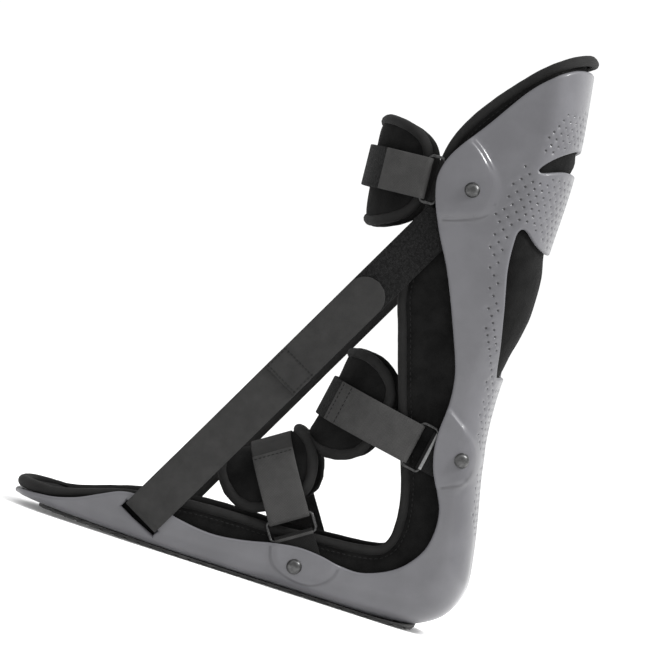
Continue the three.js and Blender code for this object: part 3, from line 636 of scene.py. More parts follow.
# trough that the shell and the liner follow, swept along the sole, round the heel and up the back
trough = {
    # x, z, half of the flat middle, half width, corner depth, reach of the wall
    "sections": [
        (-142.5, 6.3, 3, 13, 10, 40), (-139, 6.15, 14, 24, 10, 40), (-134, 5.85, 28, 38, 10, 41),
        (-126, 5.4, 37, 47, 10, 42), (-114, 4.8, 42.5, 52.5, 10, 44), (-97, 4.1, 44, 54, 10, 46),
        (-80, 3.5, 43.5, 53.5, 10, 48),
        (-45, 2.7, 42, 52.5, 10.5, 50), (-10, 2.5, 38, 49, 11, 50), (30, 2.5, 32.5, 45.5, 12, 52),
        (65, 2.5, 28, 43.5, 14, 54), (90, 2.7, 24, 42.5, 17, 56), (108.4, 4.8, 20, 42, 19, 60),
        (122, 12.2, 18, 42, 20, 64), (128.5, 20.5, 17, 42, 20, 66), (132, 34, 16, 42, 19, 64),
        (129.7, 53, 16, 43.2, 17, 62), (125.6, 73, 17, 44.8, 15, 66), (120.9, 93, 18, 46.2, 13, 76),
        (116.8, 113, 18, 46.6, 13, 88), (114.3, 136, 18, 48.2, 15, 94), (114.2, 158, 17, 50.5, 17, 96),
        (118.2, 196, 16, 54, 20, 98), (117.2, 235, 16, 56.4, 21, 98), (117.6, 275, 16, 57.4, 21, 98),
        (116.2, 301, 16, 58, 21, 96), (113.4, 322.5, 16, 58.5, 21, 94), (109.9, 345, 16, 59, 21, 92),
        (106, 368, 16, 59.5, 21, 90),
    ],
    "heelPivot": (61.2, 66.6),
    "backRayAngle": 184,
    "behind": 12,  # how far behind the spine a point may lie and still be found
    "toeTip": -139.8,
    "toeRoundStart": -76,
    "toeFullness": 3.2,
    "toeHalf": 59,
    "toeSteps": 160,
    "toeEdgeSpots": 80,  # how much of an edge belongs to the toe
    "toeSide": 0.3,  # the plan hands over to the edge this near to the full width
    "blendGap": 0.8,
    "blendReach": 16,
    "blendBlur": 5,
    "blurArm": 18,
    "middleSteps": 12,
}
sections = np.array(trough["sections"], float)
stations = lengthsOf(sections[:, :2])
lastStation = len(stations) - 1


def sectionSlope(i):
    low, high = max(i - 1, 0), min(i + 1, lastStation)
    return (sections[high] - sections[low]) / (stations[high] - stations[low])


slopes = np.array([sectionSlope(i) for i in range(len(stations))])


def sectionsAt(distance):
    i = np.clip(np.searchsorted(stations, distance) - 1, 0, lastStation - 1)
    span = (stations[i + 1] - stations[i])[:, None]
    t = (distance - stations[i])[:, None] / span
    pull = (1 - t) * slopes[i] - t * slopes[i + 1]
    values = sections[i] + (sections[i + 1] - sections[i]) * t * t * (3 - 2 * t) + pull * span * t * (1 - t)
    pivotX, pivotZ = trough["heelPivot"]
    angle = np.degrees(np.arctan2(pivotZ - values[:, 1], pivotX - values[:, 0])) % 360
    ray = np.radians(np.clip(angle, 90, trough["backRayAngle"]))
    return values, np.cos(ray), np.sin(ray)


def facePoints(distance, across):
    values, rayX, rayZ = sectionsAt(distance)
    x, z, flat, width, corner, reach = values.T
    way = np.abs(across)
    turn = np.clip(way - 1, 0, 1) * (math.pi / 2)
    half = np.where(way < 1, flat * way, flat + (width - flat) * np.sin(turn))
    depth = corner * (1 - np.cos(turn)) + np.maximum(way - 2, 0) * (reach - corner)
    return np.stack([x + rayX * depth, np.where(across < 0, -half, half), z + rayZ * depth], axis=1)


def onFace(spots):
    distance, across = spots[:, :2].T
    return facePoints(distance, across)


def faceNormals(distance, across):
    step = 0.02
    along = facePoints(distance + step, across) - facePoints(distance - step, across)
    over = facePoints(distance, across + step) - facePoints(distance, across - step)
    return unit(np.cross(over, along))


def offsetPoints(spots, offset):
    offset = np.broadcast_to(offset, (len(spots),))
    return onFace(spots) + faceNormals(spots[:, 0], spots[:, 1]) * offset[:, None]


spineSteps = np.linspace(0, stations[-1], 6001)
spineValues, spineRayX, spineRayZ = sectionsAt(spineSteps)
heelStep = spineValues[:, 0].argmax()
solePart, backPart = slice(0, heelStep), slice(heelStep, None)


# where a side view point lies on the trough: distance, across and depth from the spine
def locate(points):
    found = []
    for x, z in points:
        dx, dz = x - spineValues[:, 0], z - spineValues[:, 1]
        miss = spineRayX * dz - spineRayZ * dx
        depths = spineRayX * dx + spineRayZ * dz
        hits = np.nonzero((miss[:-1] * miss[1:] <= 0) & (depths[:-1] > -trough["behind"]))[0]
        if not len(hits):
            found.append((0.0, 1.0, -1.0))  # off the trough
            continue
        pick = hits[depths[hits].argmin()]
        share = miss[pick] / (miss[pick] - miss[pick + 1])
        distance = spineSteps[pick] + share * (spineSteps[1] - spineSteps[0])
        depth = depths[pick] + share * (depths[pick + 1] - depths[pick])
        corner, reach = spineValues[pick, 4], spineValues[pick, 5]
        if depth >= corner:
            across = 2 + (depth - corner) / (reach - corner)
        else:
            across = 1 + math.acos(min(1.0, 1 - max(depth, 0) / corner)) / (math.pi / 2)
        found.append((distance, across, depth))
    return np.array(found)


def cornerLength(flat, width, corner):
    return (math.pi / 2) * np.sqrt(((width - flat) ** 2 + corner ** 2) / 2)


# length round the section from its middle, used to lay the wall out flat, and the way back from it
def arcOf(distance, across):
    flat, width, corner, reach = sectionsAt(distance)[0].T[2:]
    bend = cornerLength(flat, width, corner)
    wall = (reach - corner) * np.maximum(across - 2, 0)
    return flat * np.minimum(across, 1) + bend * np.clip(across - 1, 0, 1) + wall


def acrossOf(distance, arc):
    flat, width, corner, reach = sectionsAt(distance)[0].T[2:]
    bend = cornerLength(flat, width, corner)
    wall = 2 + (arc - flat - bend) / (reach - corner)
    return np.where(arc < flat, arc / flat, np.where(arc < flat + bend, 1 + (arc - flat) / bend, wall))


def laidFlat(spots):
    return np.stack([spots[:, 0], arcOf(spots[:, 0], spots[:, 1])], axis=1)


def evenSpots(spots, gap):
    run = onFace(spots)
    lengths = lengthsOf(run)
    wanted = np.linspace(0, lengths[-1], max(2, int(round(lengths[-1] / gap))) + 1)
    return np.stack([np.interp(wanted, lengths, spots[:, k]) for k in range(2)], axis=1)


# carries a run that ends behind the back, or at it, on to the middle line
def toMiddle(spots):
    inside = np.nonzero(spots[:, 2] > 0)[0]
    first, last = inside[0], inside[-1]
    kept = [tuple(s[:2]) for s in spots[first:last + 1]]
    steps = trough["middleSteps"]

    def carry(edge, beyond):
        if 0 <= beyond < len(spots):
            share = spots[edge, 2] / (spots[edge, 2] - spots[beyond, 2])
            distance = spots[edge, 0] + share * (spots[beyond, 0] - spots[edge, 0])
        else:
            distance = spots[edge, 0]
        top = min(spots[edge, 1], 1.0)
        return [(distance, top * (1 - k / steps)) for k in range(steps + 1)]
    return kept, carry(first, first - 1), carry(last, last + 1)


def edgeRun(points, setIn, gap=1.2):
    return locate(movedRight(smoothRun(points, gap), setIn))


# rounds off a run's corner near one distance, on the laid out wall
def softened(spots, middle):
    flat = laidFlat(spots)
    smooth = flat.copy()
    arm, reach = trough["blurArm"], trough["blendReach"]
    weights = np.exp(-0.5 * (np.arange(-arm, arm + 1) / trough["blendBlur"]) ** 2)
    weights /= weights.sum()
    # odd reflection keeps the ends where they are
    padded = np.pad(flat, ((arm, arm), (0, 0)), mode="reflect", reflect_type="odd")
    for k in range(2):
        smooth[:, k] = np.convolve(padded[:, k], weights, mode="valid")
    share = 1 - smoothStep(np.abs(flat[:, 0] - middle), reach * 0.5, reach)
    mixed = flat + (smooth - flat) * share[:, None]
    return np.stack([mixed[:, 0], acrossOf(mixed[:, 0], mixed[:, 1])], axis=1)


# round end of the toe seen from above, from the middle line at 0 to the sides at a quarter turn
def toePlan(angle, setIn, half):
    bulge = 2 / trough["toeFullness"]
    length = trough["toeRoundStart"] - trough["toeTip"] - setIn
    x = trough["toeRoundStart"] - length * math.cos(angle) ** bulge
    return x, half * math.copysign(abs(math.sin(angle)) ** bulge, angle)


# front edge from the toe's middle, round the toe plan, up the side and over the back
def frontSpots(points, setIn, gap, sideRoom=0.0):
    kept, top = toMiddle(edgeRun(points, setIn))[::2]
    edge = np.array(kept)
    toeEdge = edge[:trough["toeEdgeSpots"]]
    toe = []
    for angle in np.linspace(0, math.pi / 2, trough["toeSteps"])[:-1]:
        x, y = toePlan(angle, setIn, trough["toeHalf"] - setIn + sideRoom)
        distance = np.interp(x, spineValues[solePart, 0], spineSteps[solePart])
        flat, width = [np.interp(distance, spineSteps, spineValues[:, k]) for k in (2, 3)]
        if y < flat:
            across = y / flat
        else:
            across = 1 + math.asin(min(1.0, (y - flat) / (width - flat))) / (math.pi / 2)
        edgeAcross = np.interp(distance, toeEdge[:, 0], toeEdge[:, 1])
        if y >= width - trough["toeSide"] or across >= edgeAcross:
            break
        toe.append((distance, across))
    rest = edge[edge[:, 0] > toe[-1][0] + 1]
    blended = softened(evenSpots(np.vstack([toe, rest]), trough["blendGap"]), toe[-1][0])
    return evenSpots(np.vstack([blended, top]), gap)


def openingSpots(points, setOut, gap):
    kept, start, end = toMiddle(edgeRun(points, setOut))
    return evenSpots(np.array(start[::-1] + kept + end), gap)


def seamSpots(start, end, gap):
    count = max(2, int(abs(end - start) / gap))
    return np.stack([np.linspace(start, end, count + 1), np.zeros(count + 1)], axis=1)


# laid flat and rounded as the triangulation rounds, so that thin triangles at the edge are judged alike
def roundedFlat(spots):
    return laidFlat(np.asarray(spots)).astype(np.float32).astype(float)


# one symmetrical wall of the trough: a half is laid out flat, filled with triangles, lifted and mirrored
def buildWall(runs, holes, dots, innerDots, outerLift, innerLift, bulge, rimLoops=5):
    outline, freeEdges = [], []
    for spots, free in runs:
        first = len(outline)
        outline.extend(spots[:-1])
        if free:
            freeEdges.append(list(range(first, len(outline) + 1)))
    total = len(outline)
    freeEdges = [[i % total for i in edge] for edge in freeEdges]
    border = [tuple(s) for s in outline]
    edges = [(i, (i + 1) % total) for i in range(total)]
    for hole in holes:
        base = len(border)
        border.extend(tuple(s) for s in hole)
        edges += [(base + i, base + (i + 1) % len(hole)) for i in range(len(hole))]
        freeEdges.append([base + i for i in range(len(hole))] + [base])
    border = np.array(border)
    outlineFlat = roundedFlat(border)[:total]

    def fill(extra):
        spots = np.vstack([border, extra]) if len(extra) else border
        flat = roundedFlat(spots)
        triangles = triangulated(flat, edges, 0)
        middles = flat[triangles].mean(axis=1)
        keep = insideOf(middles, outlineFlat)
        for hole in holes:
            keep &= ~insideOf(middles, roundedFlat(hole))
        return spots, triangles[keep]

    outerSpots, outerFaces = fill(dots)
    innerSpots, innerFaces = fill(innerDots)
    outer = offsetPoints(outerSpots, outerLift(outerSpots))
    inner = offsetPoints(innerSpots, innerLift(innerSpots))
    points = [outer, inner]
    faces = outerFaces.tolist() + (innerFaces + len(outer)).tolist()
    rim = [np.zeros(len(outer)), np.zeros(len(inner))]
    borderWear = 0.35  # paint of the points beside the rim, which has 1
    rim[0][:len(border)] = borderWear
    base = len(outer) + len(inner)
    normals = faceNormals(border[:, 0], border[:, 1])
    for edge in freeEdges:
        ends = np.array(edge)
        top, low = outer[ends], inner[ends]
        middle, half = (top + low) / 2, (top - low) / 2
        heading = np.gradient(middle, axis=0)
        if edge[0] == edge[-1]:
            heading[0] = heading[-1] = middle[1] - middle[-2]
        out = unit(np.cross(heading, normals[ends]))
        loops = [ends]
        for k in range(1, rimLoops):
            angle = math.pi / 2 - math.pi * k / rimLoops
            ring = middle + half * math.sin(angle) + out * bulge * math.cos(angle)
            if abs(top[0][1]) < 1e-6:
                ring[0][1] = 0
            if abs(top[-1][1]) < 1e-6:
                ring[-1][1] = 0
            points.append(ring)
            rim.append(np.ones(len(ring)))
            loops.append(np.arange(base, base + len(ring)))
            base += len(ring)
        loops.append(ends + len(outer))
        for upper, lower in zip(loops[:-1], loops[1:]):
            faces += loopFaces(upper, lower, closed=False)
    half = np.vstack(points)
    count = len(half)
    whole = np.vstack([half, half * (1, -1, 1)])
    mirrored = [[count + v for v in face[::-1]] for face in faces]
    return whole, [[int(v) for v in face] for face in faces] + mirrored, np.concatenate(rim + rim)


# a row of spots just inside the free edges, which keeps their rounding narrow and even
def guardSpots(runs, outlineFlat, gap):
    rows = []
    for spots, free in runs:
        if not free:
            continue
        flat = laidFlat(spots)
        heading = unit(np.gradient(flat, axis=0))
        inward = np.stack([-heading[:, 1], heading[:, 0]], axis=1) * gap
        middle = len(flat) // 2
        if not insideOf(flat[middle:middle + 1] + inward[middle:middle + 1], outlineFlat)[0]:
            inward = -inward
        moved = (flat + inward)[flat[:, 1] > gap]
        rows.append(np.stack([moved[:, 0], acrossOf(moved[:, 0], moved[:, 1])], axis=1))
    return np.vstack(rows)


# an even lattice of spots over the trough
def gridSpots(gap, flatSteps, cornerSteps, wallSteps):
    levels = np.concatenate([np.arange(1, flatSteps) / flatSteps, 1 + np.arange(cornerSteps) / cornerSteps,
                             2 + np.arange(wallSteps) / wallSteps])
    spots = []
    for i, distance in enumerate(np.arange(1, stations[-1], gap)):
        shift = 0.5 * (i % 2)
        spots.extend((distance + shift * gap * 0.3, level + 0.02 * shift) for level in levels)
    return np.array(spots)


def keepClear(spots, outlineFlat, others, gap):
    spots = spots[insideOf(laidFlat(spots), outlineFlat)]
    return spots[gapsTo(nearTree(others), onFace(spots)) > gap]


# shell: wall, free edges, raised fields, openings and dimples
shell = {
    "wall": 3.0,
    "edgeRound": 1.3,
    "slotRound": 0.6,
    "gap": 1.8,  # between points of an edge
    "notchGap": 1.4,
    "slotGap": 1.2,
    "seamGap": 2.5,
    "soleGap": 3.0,
    "grid": (2.6, 6, 10, 24),  # gap along, steps over the flat, the corner and the wall
    "gridRoom": 1.2,
    "guard": 0.7,
    "guardRoom": 0.5,
    "raisedHeight": 2.0,
    "raisedInside": 3.1,  # how far the inner face follows a raised field
    "raisedGap": 1.5,
    "raisedRoom": 1.5,
    "ledge": 2.6,
    "upper": (0.55, 0.83),  # way up and to the back, towards the light
    # strength and reach of the painted shade at the feet of the raised fields
    "footPaintedShade": 0.6,
    "footReach": 2.4,
    "edge": [
        (-150, 9.2), (-126, 9.2), (-111.6, 11.5), (-97.9, 16.7), (-87.3, 22), (-76.7, 27), (-67.9, 28.3),
        (-55, 26.5), (-41.5, 22.7), (-19, 19.9), (-1.1, 21.7), (21.8, 26.7), (33.7, 28.1), (46.3, 27.3),
        (59.3, 25), (71.6, 25), (86.3, 30.7), (95.2, 37.6), (103, 49.4), (105.3, 62.4), (103.9, 74.3),
        (99.5, 83.9), (93.6, 95.5), (90.5, 106.8), (89.7, 118.9), (90.5, 131.4), (90.1, 142.4), (88.1, 154),
        (79.4, 177), (65.2, 209.3), (53.5, 230.2), (45.5, 249.1), (43.4, 259.5), (44.8, 268.5), (48.3, 276.7),
        (62.8, 298.3), (79, 323.1), (87.8, 332.8), (97, 340.1), (106.5, 345), (135, 347),
    ],
    "window": [
        (118.5, 234.6), (110.5, 239), (103.5, 244.7), (100.6, 245.4), (98.4, 243.1), (98, 234.4),
        (99.3, 220.7), (102, 209.3), (105, 198), (110, 175.3), (111.8, 164), (113.2, 157),
    ],
    "notch": [
        (120, 301.5), (106.5, 290.4), (99.6, 283), (98.6, 281), (100.5, 280.2), (114.3, 285), (120, 285.4),
    ],
    # raised fields: share of the first of two steps, and x, z and how softly the field ends there
    "raised": [
        {"first": 0.5, "outline": [
            (30, 292, 1.5), (56, 287.9, 1.5), (70.9, 277, 1.6), (79, 267, 7), (80.5, 256, 9), (77, 246, 6),
            (66, 240, 2.6), (50, 235.2, 2), (30, 233, 2)]},
        {"first": 1.0, "outline": [
            (80, 138, 2.8), (93, 131.6, 3.1), (104.9, 123.2, 3.9), (113.6, 114, 8), (115.8, 103.7, 9),
            (113.6, 94, 7), (104, 88, 3.4), (80, 82, 2.6)]},
        {"first": 0.5, "outline": [
            (14, 40, 3), (16.5, 24.3, 3), (21.2, 13.6, 4), (33, 8.4, 5), (46.5, 8.6, 5), (56.2, 15.7, 4),
            (59, 25.9, 3), (60, 40, 3)]},
    ],
    "slot": {"low": (-60.5, 16.3), "high": (51.1, 230.5), "length": 27, "from": -4.2, "to": 2},
}
dimples = {
    "pitchAlong": 3.9,
    "pitchAcross": 7.2,
    "columns": 16,
    "radius": 1.0,
    "depth": 0.7,
    "mostRaised": 0.15,
    "edgeRoom": 2.6,
    "stepRoom": 1.3,
    "gridRoom": 1.5,
    "spokes": 7,
    "rings": ((0.45, 0.92), (0.82, 0.22), (1.05, 0.0)),  # shares of the radius and of the depth
    # height up the back, and how far forward of it the dimples reach
    "reach": [
        (66, 0), (70, 1.4), (100, 1.8), (118, 3), (130, 4.6), (150, 6.5), (165, 10), (180, 19), (195, 24.5),
        (210, 28), (235, 33), (252, 36), (280, 30), (290, 20), (308, 17), (318, 12), (322, 0),
    ],
}


# the outline of a raised field and the way into it
def fieldOutline(field):
    outline = smoothRun(field["outline"], shell["raisedGap"], closed=True)
    heading = unit(np.roll(outline[:, :2], -1, 0) - np.roll(outline[:, :2], 1, 0))
    inward = np.stack([heading[:, 1], -heading[:, 0]], axis=1)
    if not insideOf(outline[:1, :2] + inward[:1], outline[:, :2])[0]:
        inward = -inward
    return outline, inward


# how far up its raised field each side view point lies, from 0 to 1
def raisedShare(points):
    share = np.zeros(len(points))
    for field in shell["raised"]:
        outline = fieldOutline(field)[0]
        depth, nearest = depthInside(points, outline[:, :2])
        soft = outline[nearest, 2]
        steps = field["first"] * smoothStep(depth / soft, -0.5, 0.5)
        steps += (1 - field["first"]) * smoothStep((depth - shell["ledge"]) / soft, -0.5, 0.5)
        share = np.maximum(share, steps)
    return share


def sideView(spots):
    return onFace(spots)[:, [0, 2]]


# painted shade: how much each point lies at the foot of a raised field, away from its upper edge
def footShade(points):
    shade = np.zeros(len(points))
    for field in shell["raised"]:
        outline, inward = fieldOutline(field)
        depth, nearest = depthInside(points, outline[:, :2])
        turned = inward[nearest] @ np.array(shell["upper"])
        reach = np.minimum(outline[nearest, 2], shell["footReach"])
        near = 1 - smoothStep(np.abs(depth) / reach, 0.15, 0.5)
        shade = np.maximum(shade, near * smoothStep(turned, -0.75, -0.35))
    return shade


def raisedLines():
    lines = []
    for field in shell["raised"]:
        outline, inward = fieldOutline(field)
        for start in (0, shell["ledge"]):
            for share in (-0.5, -0.17, 0.17, 0.5):
                lines.append(outline[:, :2] + inward * (start + outline[:, 2:] * share))
    return locate(np.vstack(lines))[:, :2]


def slotSpots(setOut):
    slot = shell["slot"]
    low, high = np.array(slot["low"]), np.array(slot["high"])
    along = (high - low) / np.linalg.norm(high - low)
    half = slot["length"] / 2 + setOut
    start, end = slot["from"] - setOut, slot["to"] + setOut
    sideways = np.array([-along[1], along[0]])
    corners = [(start, half), (start, -half), (end, -half), (end, half)]
    loop = np.array([low + along * t + sideways * w for t, w in corners])
    return locate(evenRun(loop, shell["slotGap"], closed=True))[:, :2]


def dimpleSpots(outlineFlat, edgePoints):
    heights = np.array(dimples["reach"], float)
    low, high = np.interp(heights[[0, -1], 0], spineValues[backPart, 1], spineSteps[backPart])
    columns = dimples["columns"]
    spots = []
    for row, distance in enumerate(np.arange(low, high, dimples["pitchAlong"])):
        arcs = (np.arange(columns) + 0.25 + 0.5 * (row % 2)) * dimples["pitchAcross"]
        spots.extend((distance, across) for across in acrossOf(np.full(columns, distance), arcs))
    spots = np.array(spots)
    spine = facePoints(spots[:, 0], np.zeros(len(spots)))
    face = onFace(spots)
    depth = np.hypot(face[:, 0] - spine[:, 0], face[:, 2] - spine[:, 2])
    spots = spots[depth <= np.interp(spine[:, 2], heights[:, 0], heights[:, 1])]
    spots = spots[raisedShare(sideView(spots)) < dimples["mostRaised"]]
    return keepClear(spots, outlineFlat, edgePoints, dimples["edgeRoom"])


# rings of spots for the round hollows, and how deep each lies
def dimpleRings(centres):
    step = 0.01
    alongSpeed = np.linalg.norm(facePoints(centres[:, 0] + step, centres[:, 1])
                                - facePoints(centres[:, 0] - step, centres[:, 1]), axis=1) / (2 * step)
    overSpeed = np.linalg.norm(facePoints(centres[:, 0], centres[:, 1] + step)
                               - facePoints(centres[:, 0], centres[:, 1] - step), axis=1) / (2 * step)
    spots, depths = [centres], [np.full(len(centres), dimples["depth"])]
    for radius, share in dimples["rings"]:
        for k in range(dimples["spokes"]):
            angle = 2 * math.pi * (k + radius) / dimples["spokes"]
            reach = dimples["radius"] * radius
            spots.append(np.stack([centres[:, 0] + reach * math.cos(angle) / alongSpeed,
                                   centres[:, 1] + reach * math.sin(angle) / overSpeed], axis=1))
            depths.append(np.full(len(centres), dimples["depth"] * share))
    return np.vstack(spots), np.concatenate(depths)


def makeShell():
    front = frontSpots(shell["edge"], shell["edgeRound"], shell["gap"])
    notch = openingSpots(shell["notch"], shell["edgeRound"], shell["notchGap"])
    window = openingSpots(shell["window"], shell["edgeRound"], shell["gap"])
    runs = [
        (front, True),
        (seamSpots(front[-1, 0], notch[0, 0], shell["seamGap"]), False),
        (notch, True),
        (seamSpots(notch[-1, 0], window[0, 0], shell["seamGap"]), False),
        (window, True),
        (seamSpots(window[-1, 0], front[0, 0], shell["soleGap"]), False),
    ]
    slot = slotSpots(shell["slotRound"])
    outlineFlat = laidFlat(np.vstack([spots[:-1] for spots, free in runs]))
    borderPoints = onFace(np.vstack([spots for spots, free in runs] + [slot]))
    openings = np.vstack([spots for spots, free in runs if free] + [slot])
    hollows = dimpleSpots(outlineFlat, onFace(openings))
    middleTree = nearTree(onFace(hollows))
    ringSpots, ringDepths = dimpleRings(hollows)
    ringTree = nearTree([Vector((s[0], s[1], 0)) for s in ringSpots])
    steps = keepClear(raisedLines(), outlineFlat, borderPoints, shell["raisedRoom"])
    steps = steps[gapsTo(middleTree, onFace(steps)) > dimples["stepRoom"]]
    guard = guardSpots(runs, outlineFlat, shell["guard"])
    guard = keepClear(guard, outlineFlat, borderPoints, shell["guardRoom"])
    steps = np.vstack([steps, guard])
    fixed = np.vstack([borderPoints, onFace(steps)])
    grid = keepClear(gridSpots(*shell["grid"]), outlineFlat, fixed, shell["gridRoom"])
    grid = grid[gapsTo(middleTree, onFace(grid)) > dimples["gridRoom"]]

    def outerLift(spots):
        lift = shell["raisedHeight"] * raisedShare(sideView(spots))
        for i, s in enumerate(spots):
            index, gap = ringTree.find((s[0], s[1], 0))[1:]
            if gap < 1e-6:
                lift[i] -= ringDepths[index]
        return lift

    def innerLift(spots):
        return -shell["wall"] + shell["raisedInside"] * raisedShare(sideView(spots))

    outerDots = np.vstack([ringSpots, steps, grid])
    innerDots = np.vstack([steps, grid[::2]])
    lifts = (outerLift, innerLift)
    whole, faces, rim = buildWall(runs, [slot], outerDots, innerDots, *lifts, shell["edgeRound"])
    # painted shade along the feet of the raised fields, stored below 0 in the rim paint
    rim = np.where(rim == 0, -shell["footPaintedShade"] * footShade(whole[:, [0, 2]]), rim)
    firstRing = len(outlineFlat) + len(slot)
    for start in (firstRing, firstRing + len(rim) // 2):
        rim[start:start + len(ringDepths)] = -ringDepths / dimples["depth"]  # below 0 inside a dimple, where it paints shade
    piece = newPiece("shell_body", whole, faces, [shellPlastic])
    marks = piece.data.attributes.new("rim", "FLOAT", "POINT")
    marks.data.foreach_set("value", rim)
    tidyMesh(piece)
    print("dimples in the shell:", 2 * len(hollows))
    return piece


settle(makeShell(), ["shell"])


# liner: soft wall inside the shell, swelling a little through the window and the notch
liner = {
    "thick": 6.0,
    "gapSole": 0.5,
    "gapWall": 3.8,
    "backHeights": (125, 158),  # between these the wall's room for straps moves to the front
    "soleSides": (1.2, 1.9),
    "backSides": (2.02, 2.3),
    "gap": 3.0,
    "seamGap": 4.0,
    "grid": (3.4, 8, 9, 20),
    "gridRoom": 2.0,
    "edgeIn": 0.4,
    "edgeReach": 11,
    "edgeThin": 1.6,
    "edgeBulge": 0.8,
    "swell": 3.2,
    "swellReach": (-4, 15),
    "outerRipple": (0.25, 31, 2),  # height, length and start of the waves
    "innerRipple": (0.45, 27, 9),
    "rollRipple": (0.12, 19, 5),
    "bindingRadius": 3.0,
    "topRadius": 3.2,
    "topGrows": (262, 335),
    "topSides": (1.2, 2.0),
    "topHeights": (315, 350),
    "topOut": 5.0,
    "toeHeight": 13.6,
    "toeRoom": 4.0,
    "toeInset": 11.0,
    "toeMore": 0.5,
    "toeGrows": (96, 128),
    "aimRounds": 8,
    "aimShare": 0.7,
    "backRoom": 0.3,
    "middleRoom": 6.0,
    "stitch": (3.2, 2.2, 0.7),  # spacing, length and width
    "stitchIn": 1.6,
    "stitchSunk": 0.15,  # below the outer face
    "stitchInside": 0.2,  # and off the inner face
    "edge": [
        (-107.8, 18.7), (-88.3, 25), (-77.1, 28.4), (-66.7, 30.5), (-34.9, 34.7), (-5.7, 35.9), (12.7, 36),
        (42.7, 38.4), (66.5, 40.6), (76.9, 43.4), (80.6, 49), (81.5, 60.8), (79.2, 75.5), (72.9, 95),
        (60.9, 128), (48.3, 166.9), (41.6, 188.1), (40.6, 212.9), (41.2, 243.4), (41.6, 268.6), (43.6, 281.7),
        (50.6, 297.8), (63.1, 316.3), (81, 336.9), (91, 345.6), (99, 351.3), (105, 354.4),
    ],
    "toeRun": [(-160, 17), (-126, 16.8)],
    "topRun": [(135, 356)],
}


# outer face of the liner off the trough: above the heel only the front of the wall leaves room for straps
def linerOuter(spots):
    height = onFace(spots)[:, 2]
    way = np.abs(spots[:, 1])
    onBack = smoothStep(height, *liner["backHeights"])
    sole, back = smoothStep(way, *liner["soleSides"]), smoothStep(way, *liner["backSides"])
    share = sole * (1 - onBack) + back * onBack
    return -shell["wall"] - (liner["gapSole"] + (liner["gapWall"] - liner["gapSole"]) * share)


def ripple(points, scale, start):
    turn = 2 * math.pi / scale
    x, y, z = points.T + start
    waves = np.sin(turn * (x + 0.6 * z)) * np.sin(turn * (0.7 * y - 0.5 * x + 3))
    return 0.6 * waves + 0.4 * np.sin(turn * 1.9 * (z - 0.4 * y)) * np.sin(turn * 1.7 * (x + 0.3 * y))


def openingOutline(points):
    run = smoothRun(points, 1.5)
    beyond = 140  # x well behind the back
    return np.vstack([[(beyond, run[0, 1])], run, [(beyond, run[-1, 1])]])


def makeLiner():
    run = liner["toeRun"] + liner["edge"] + liner["topRun"]
    front = frontSpots(run, liner["bindingRadius"] + liner["edgeIn"], liner["gap"], liner["toeRoom"])
    runs = [(front, True), (seamSpots(front[-1, 0], front[0, 0], liner["seamGap"]), False)]
    outlineFlat = laidFlat(np.vstack([spots[:-1] for spots, free in runs]))
    edgeTree = nearTree(onFace(front))
    border = onFace(np.vstack([spots for spots, free in runs]))
    grid = keepClear(gridSpots(*liner["grid"]), outlineFlat, border, liner["gridRoom"])
    openings = [openingOutline(shell["window"]), openingOutline(shell["notch"])]

    def edgeShare(spots):
        return smoothStep(gapsTo(edgeTree, onFace(spots)), 0, liner["edgeReach"])

    def outerLift(spots):
        height, scale, start = liner["outerRipple"]
        lift = linerOuter(spots) - liner["edgeThin"] * (1 - edgeShare(spots))
        for outline in openings:
            depth = depthInside(sideView(spots), outline)[0]
            lift += liner["swell"] * smoothStep(depth, *liner["swellReach"])
        return lift + height * ripple(onFace(spots), scale, start)

    def innerLift(spots):
        height, scale, start = liner["innerRipple"]
        share = edgeShare(spots)
        base = linerOuter(spots) - liner["thick"] + liner["edgeThin"] * (1 - share)
        return base - height * ripple(onFace(spots), scale, start) * share

    lifts = (outerLift, innerLift)
    whole, faces = buildWall(runs, [], grid, grid, *lifts, liner["edgeBulge"], rimLoops=3)[:2]
    piece = newPiece("liner_body", whole, faces, [linerCloth])
    tidyMesh(piece)
    return piece


# middle of the roll off the trough: it leans out over the top of the back
def rollLift(spots):
    height = onFace(spots)[:, 2]
    back = (1 - smoothStep(spots[:, 1], *liner["topSides"])) * smoothStep(height, *liner["topHeights"])
    return linerOuter(spots) - liner["thick"] / 2 + liner["topOut"] * back


# tape rolled round the whole free edge of the liner, shifted until its side view is the wanted one
def bindingLine():
    edge = movedRight(smoothRun(liner["edge"], 4), liner["bindingRadius"])
    aims = edge.copy()
    for repeat in range(liner["aimRounds"]):
        spots = locate(aims)
        near = offsetPoints(spots[:, :2], rollLift(spots))
        aims = aims + liner["aimShare"] * (edge - near[:, [0, 2]])
        back = np.interp(aims[:, 1], spineValues[backPart, 1], spineValues[backPart, 0])
        aims[:, 0] = np.minimum(aims[:, 0], back - liner["backRoom"])
    kept = near[np.abs(near[:, 1]) > liner["middleRoom"]]
    middle = offsetPoints(spots[-1:, :2] * (1, 0), rollLift(spots[-1:] * (1, 0, 0)))[0]
    toe = []
    for angle in np.linspace(-math.pi / 2, math.pi / 2, 41)[1:-1]:
        x, y = toePlan(angle, liner["bindingRadius"], trough["toeHalf"] - liner["toeInset"])
        if x < liner["edge"][0][0] - liner["middleRoom"]:
            toe.append((x, y, liner["toeHeight"]))
    points = np.vstack([kept, middle[None], (kept * (1, -1, 1))[::-1], toe])
    return smoothRun(points, 2.0, closed=True)


def makeLinerBinding():
    line = bindingLine()
    top = smoothStep(line[:, 2], *liner["topGrows"])
    toe = smoothStep(-line[:, 0], *liner["toeGrows"])
    topMore = liner["topRadius"] - liner["bindingRadius"]
    radii = liner["bindingRadius"] + topMore * top + liner["toeMore"] * toe
    height, scale, start = liner["rollRipple"]
    radii = radii + height * ripple(line, scale, start)
    points, faces, corners = tubeParts(line, radii, 14)
    return newPiece("liner_edge_roll", points, faces, [bindingTape], corners)


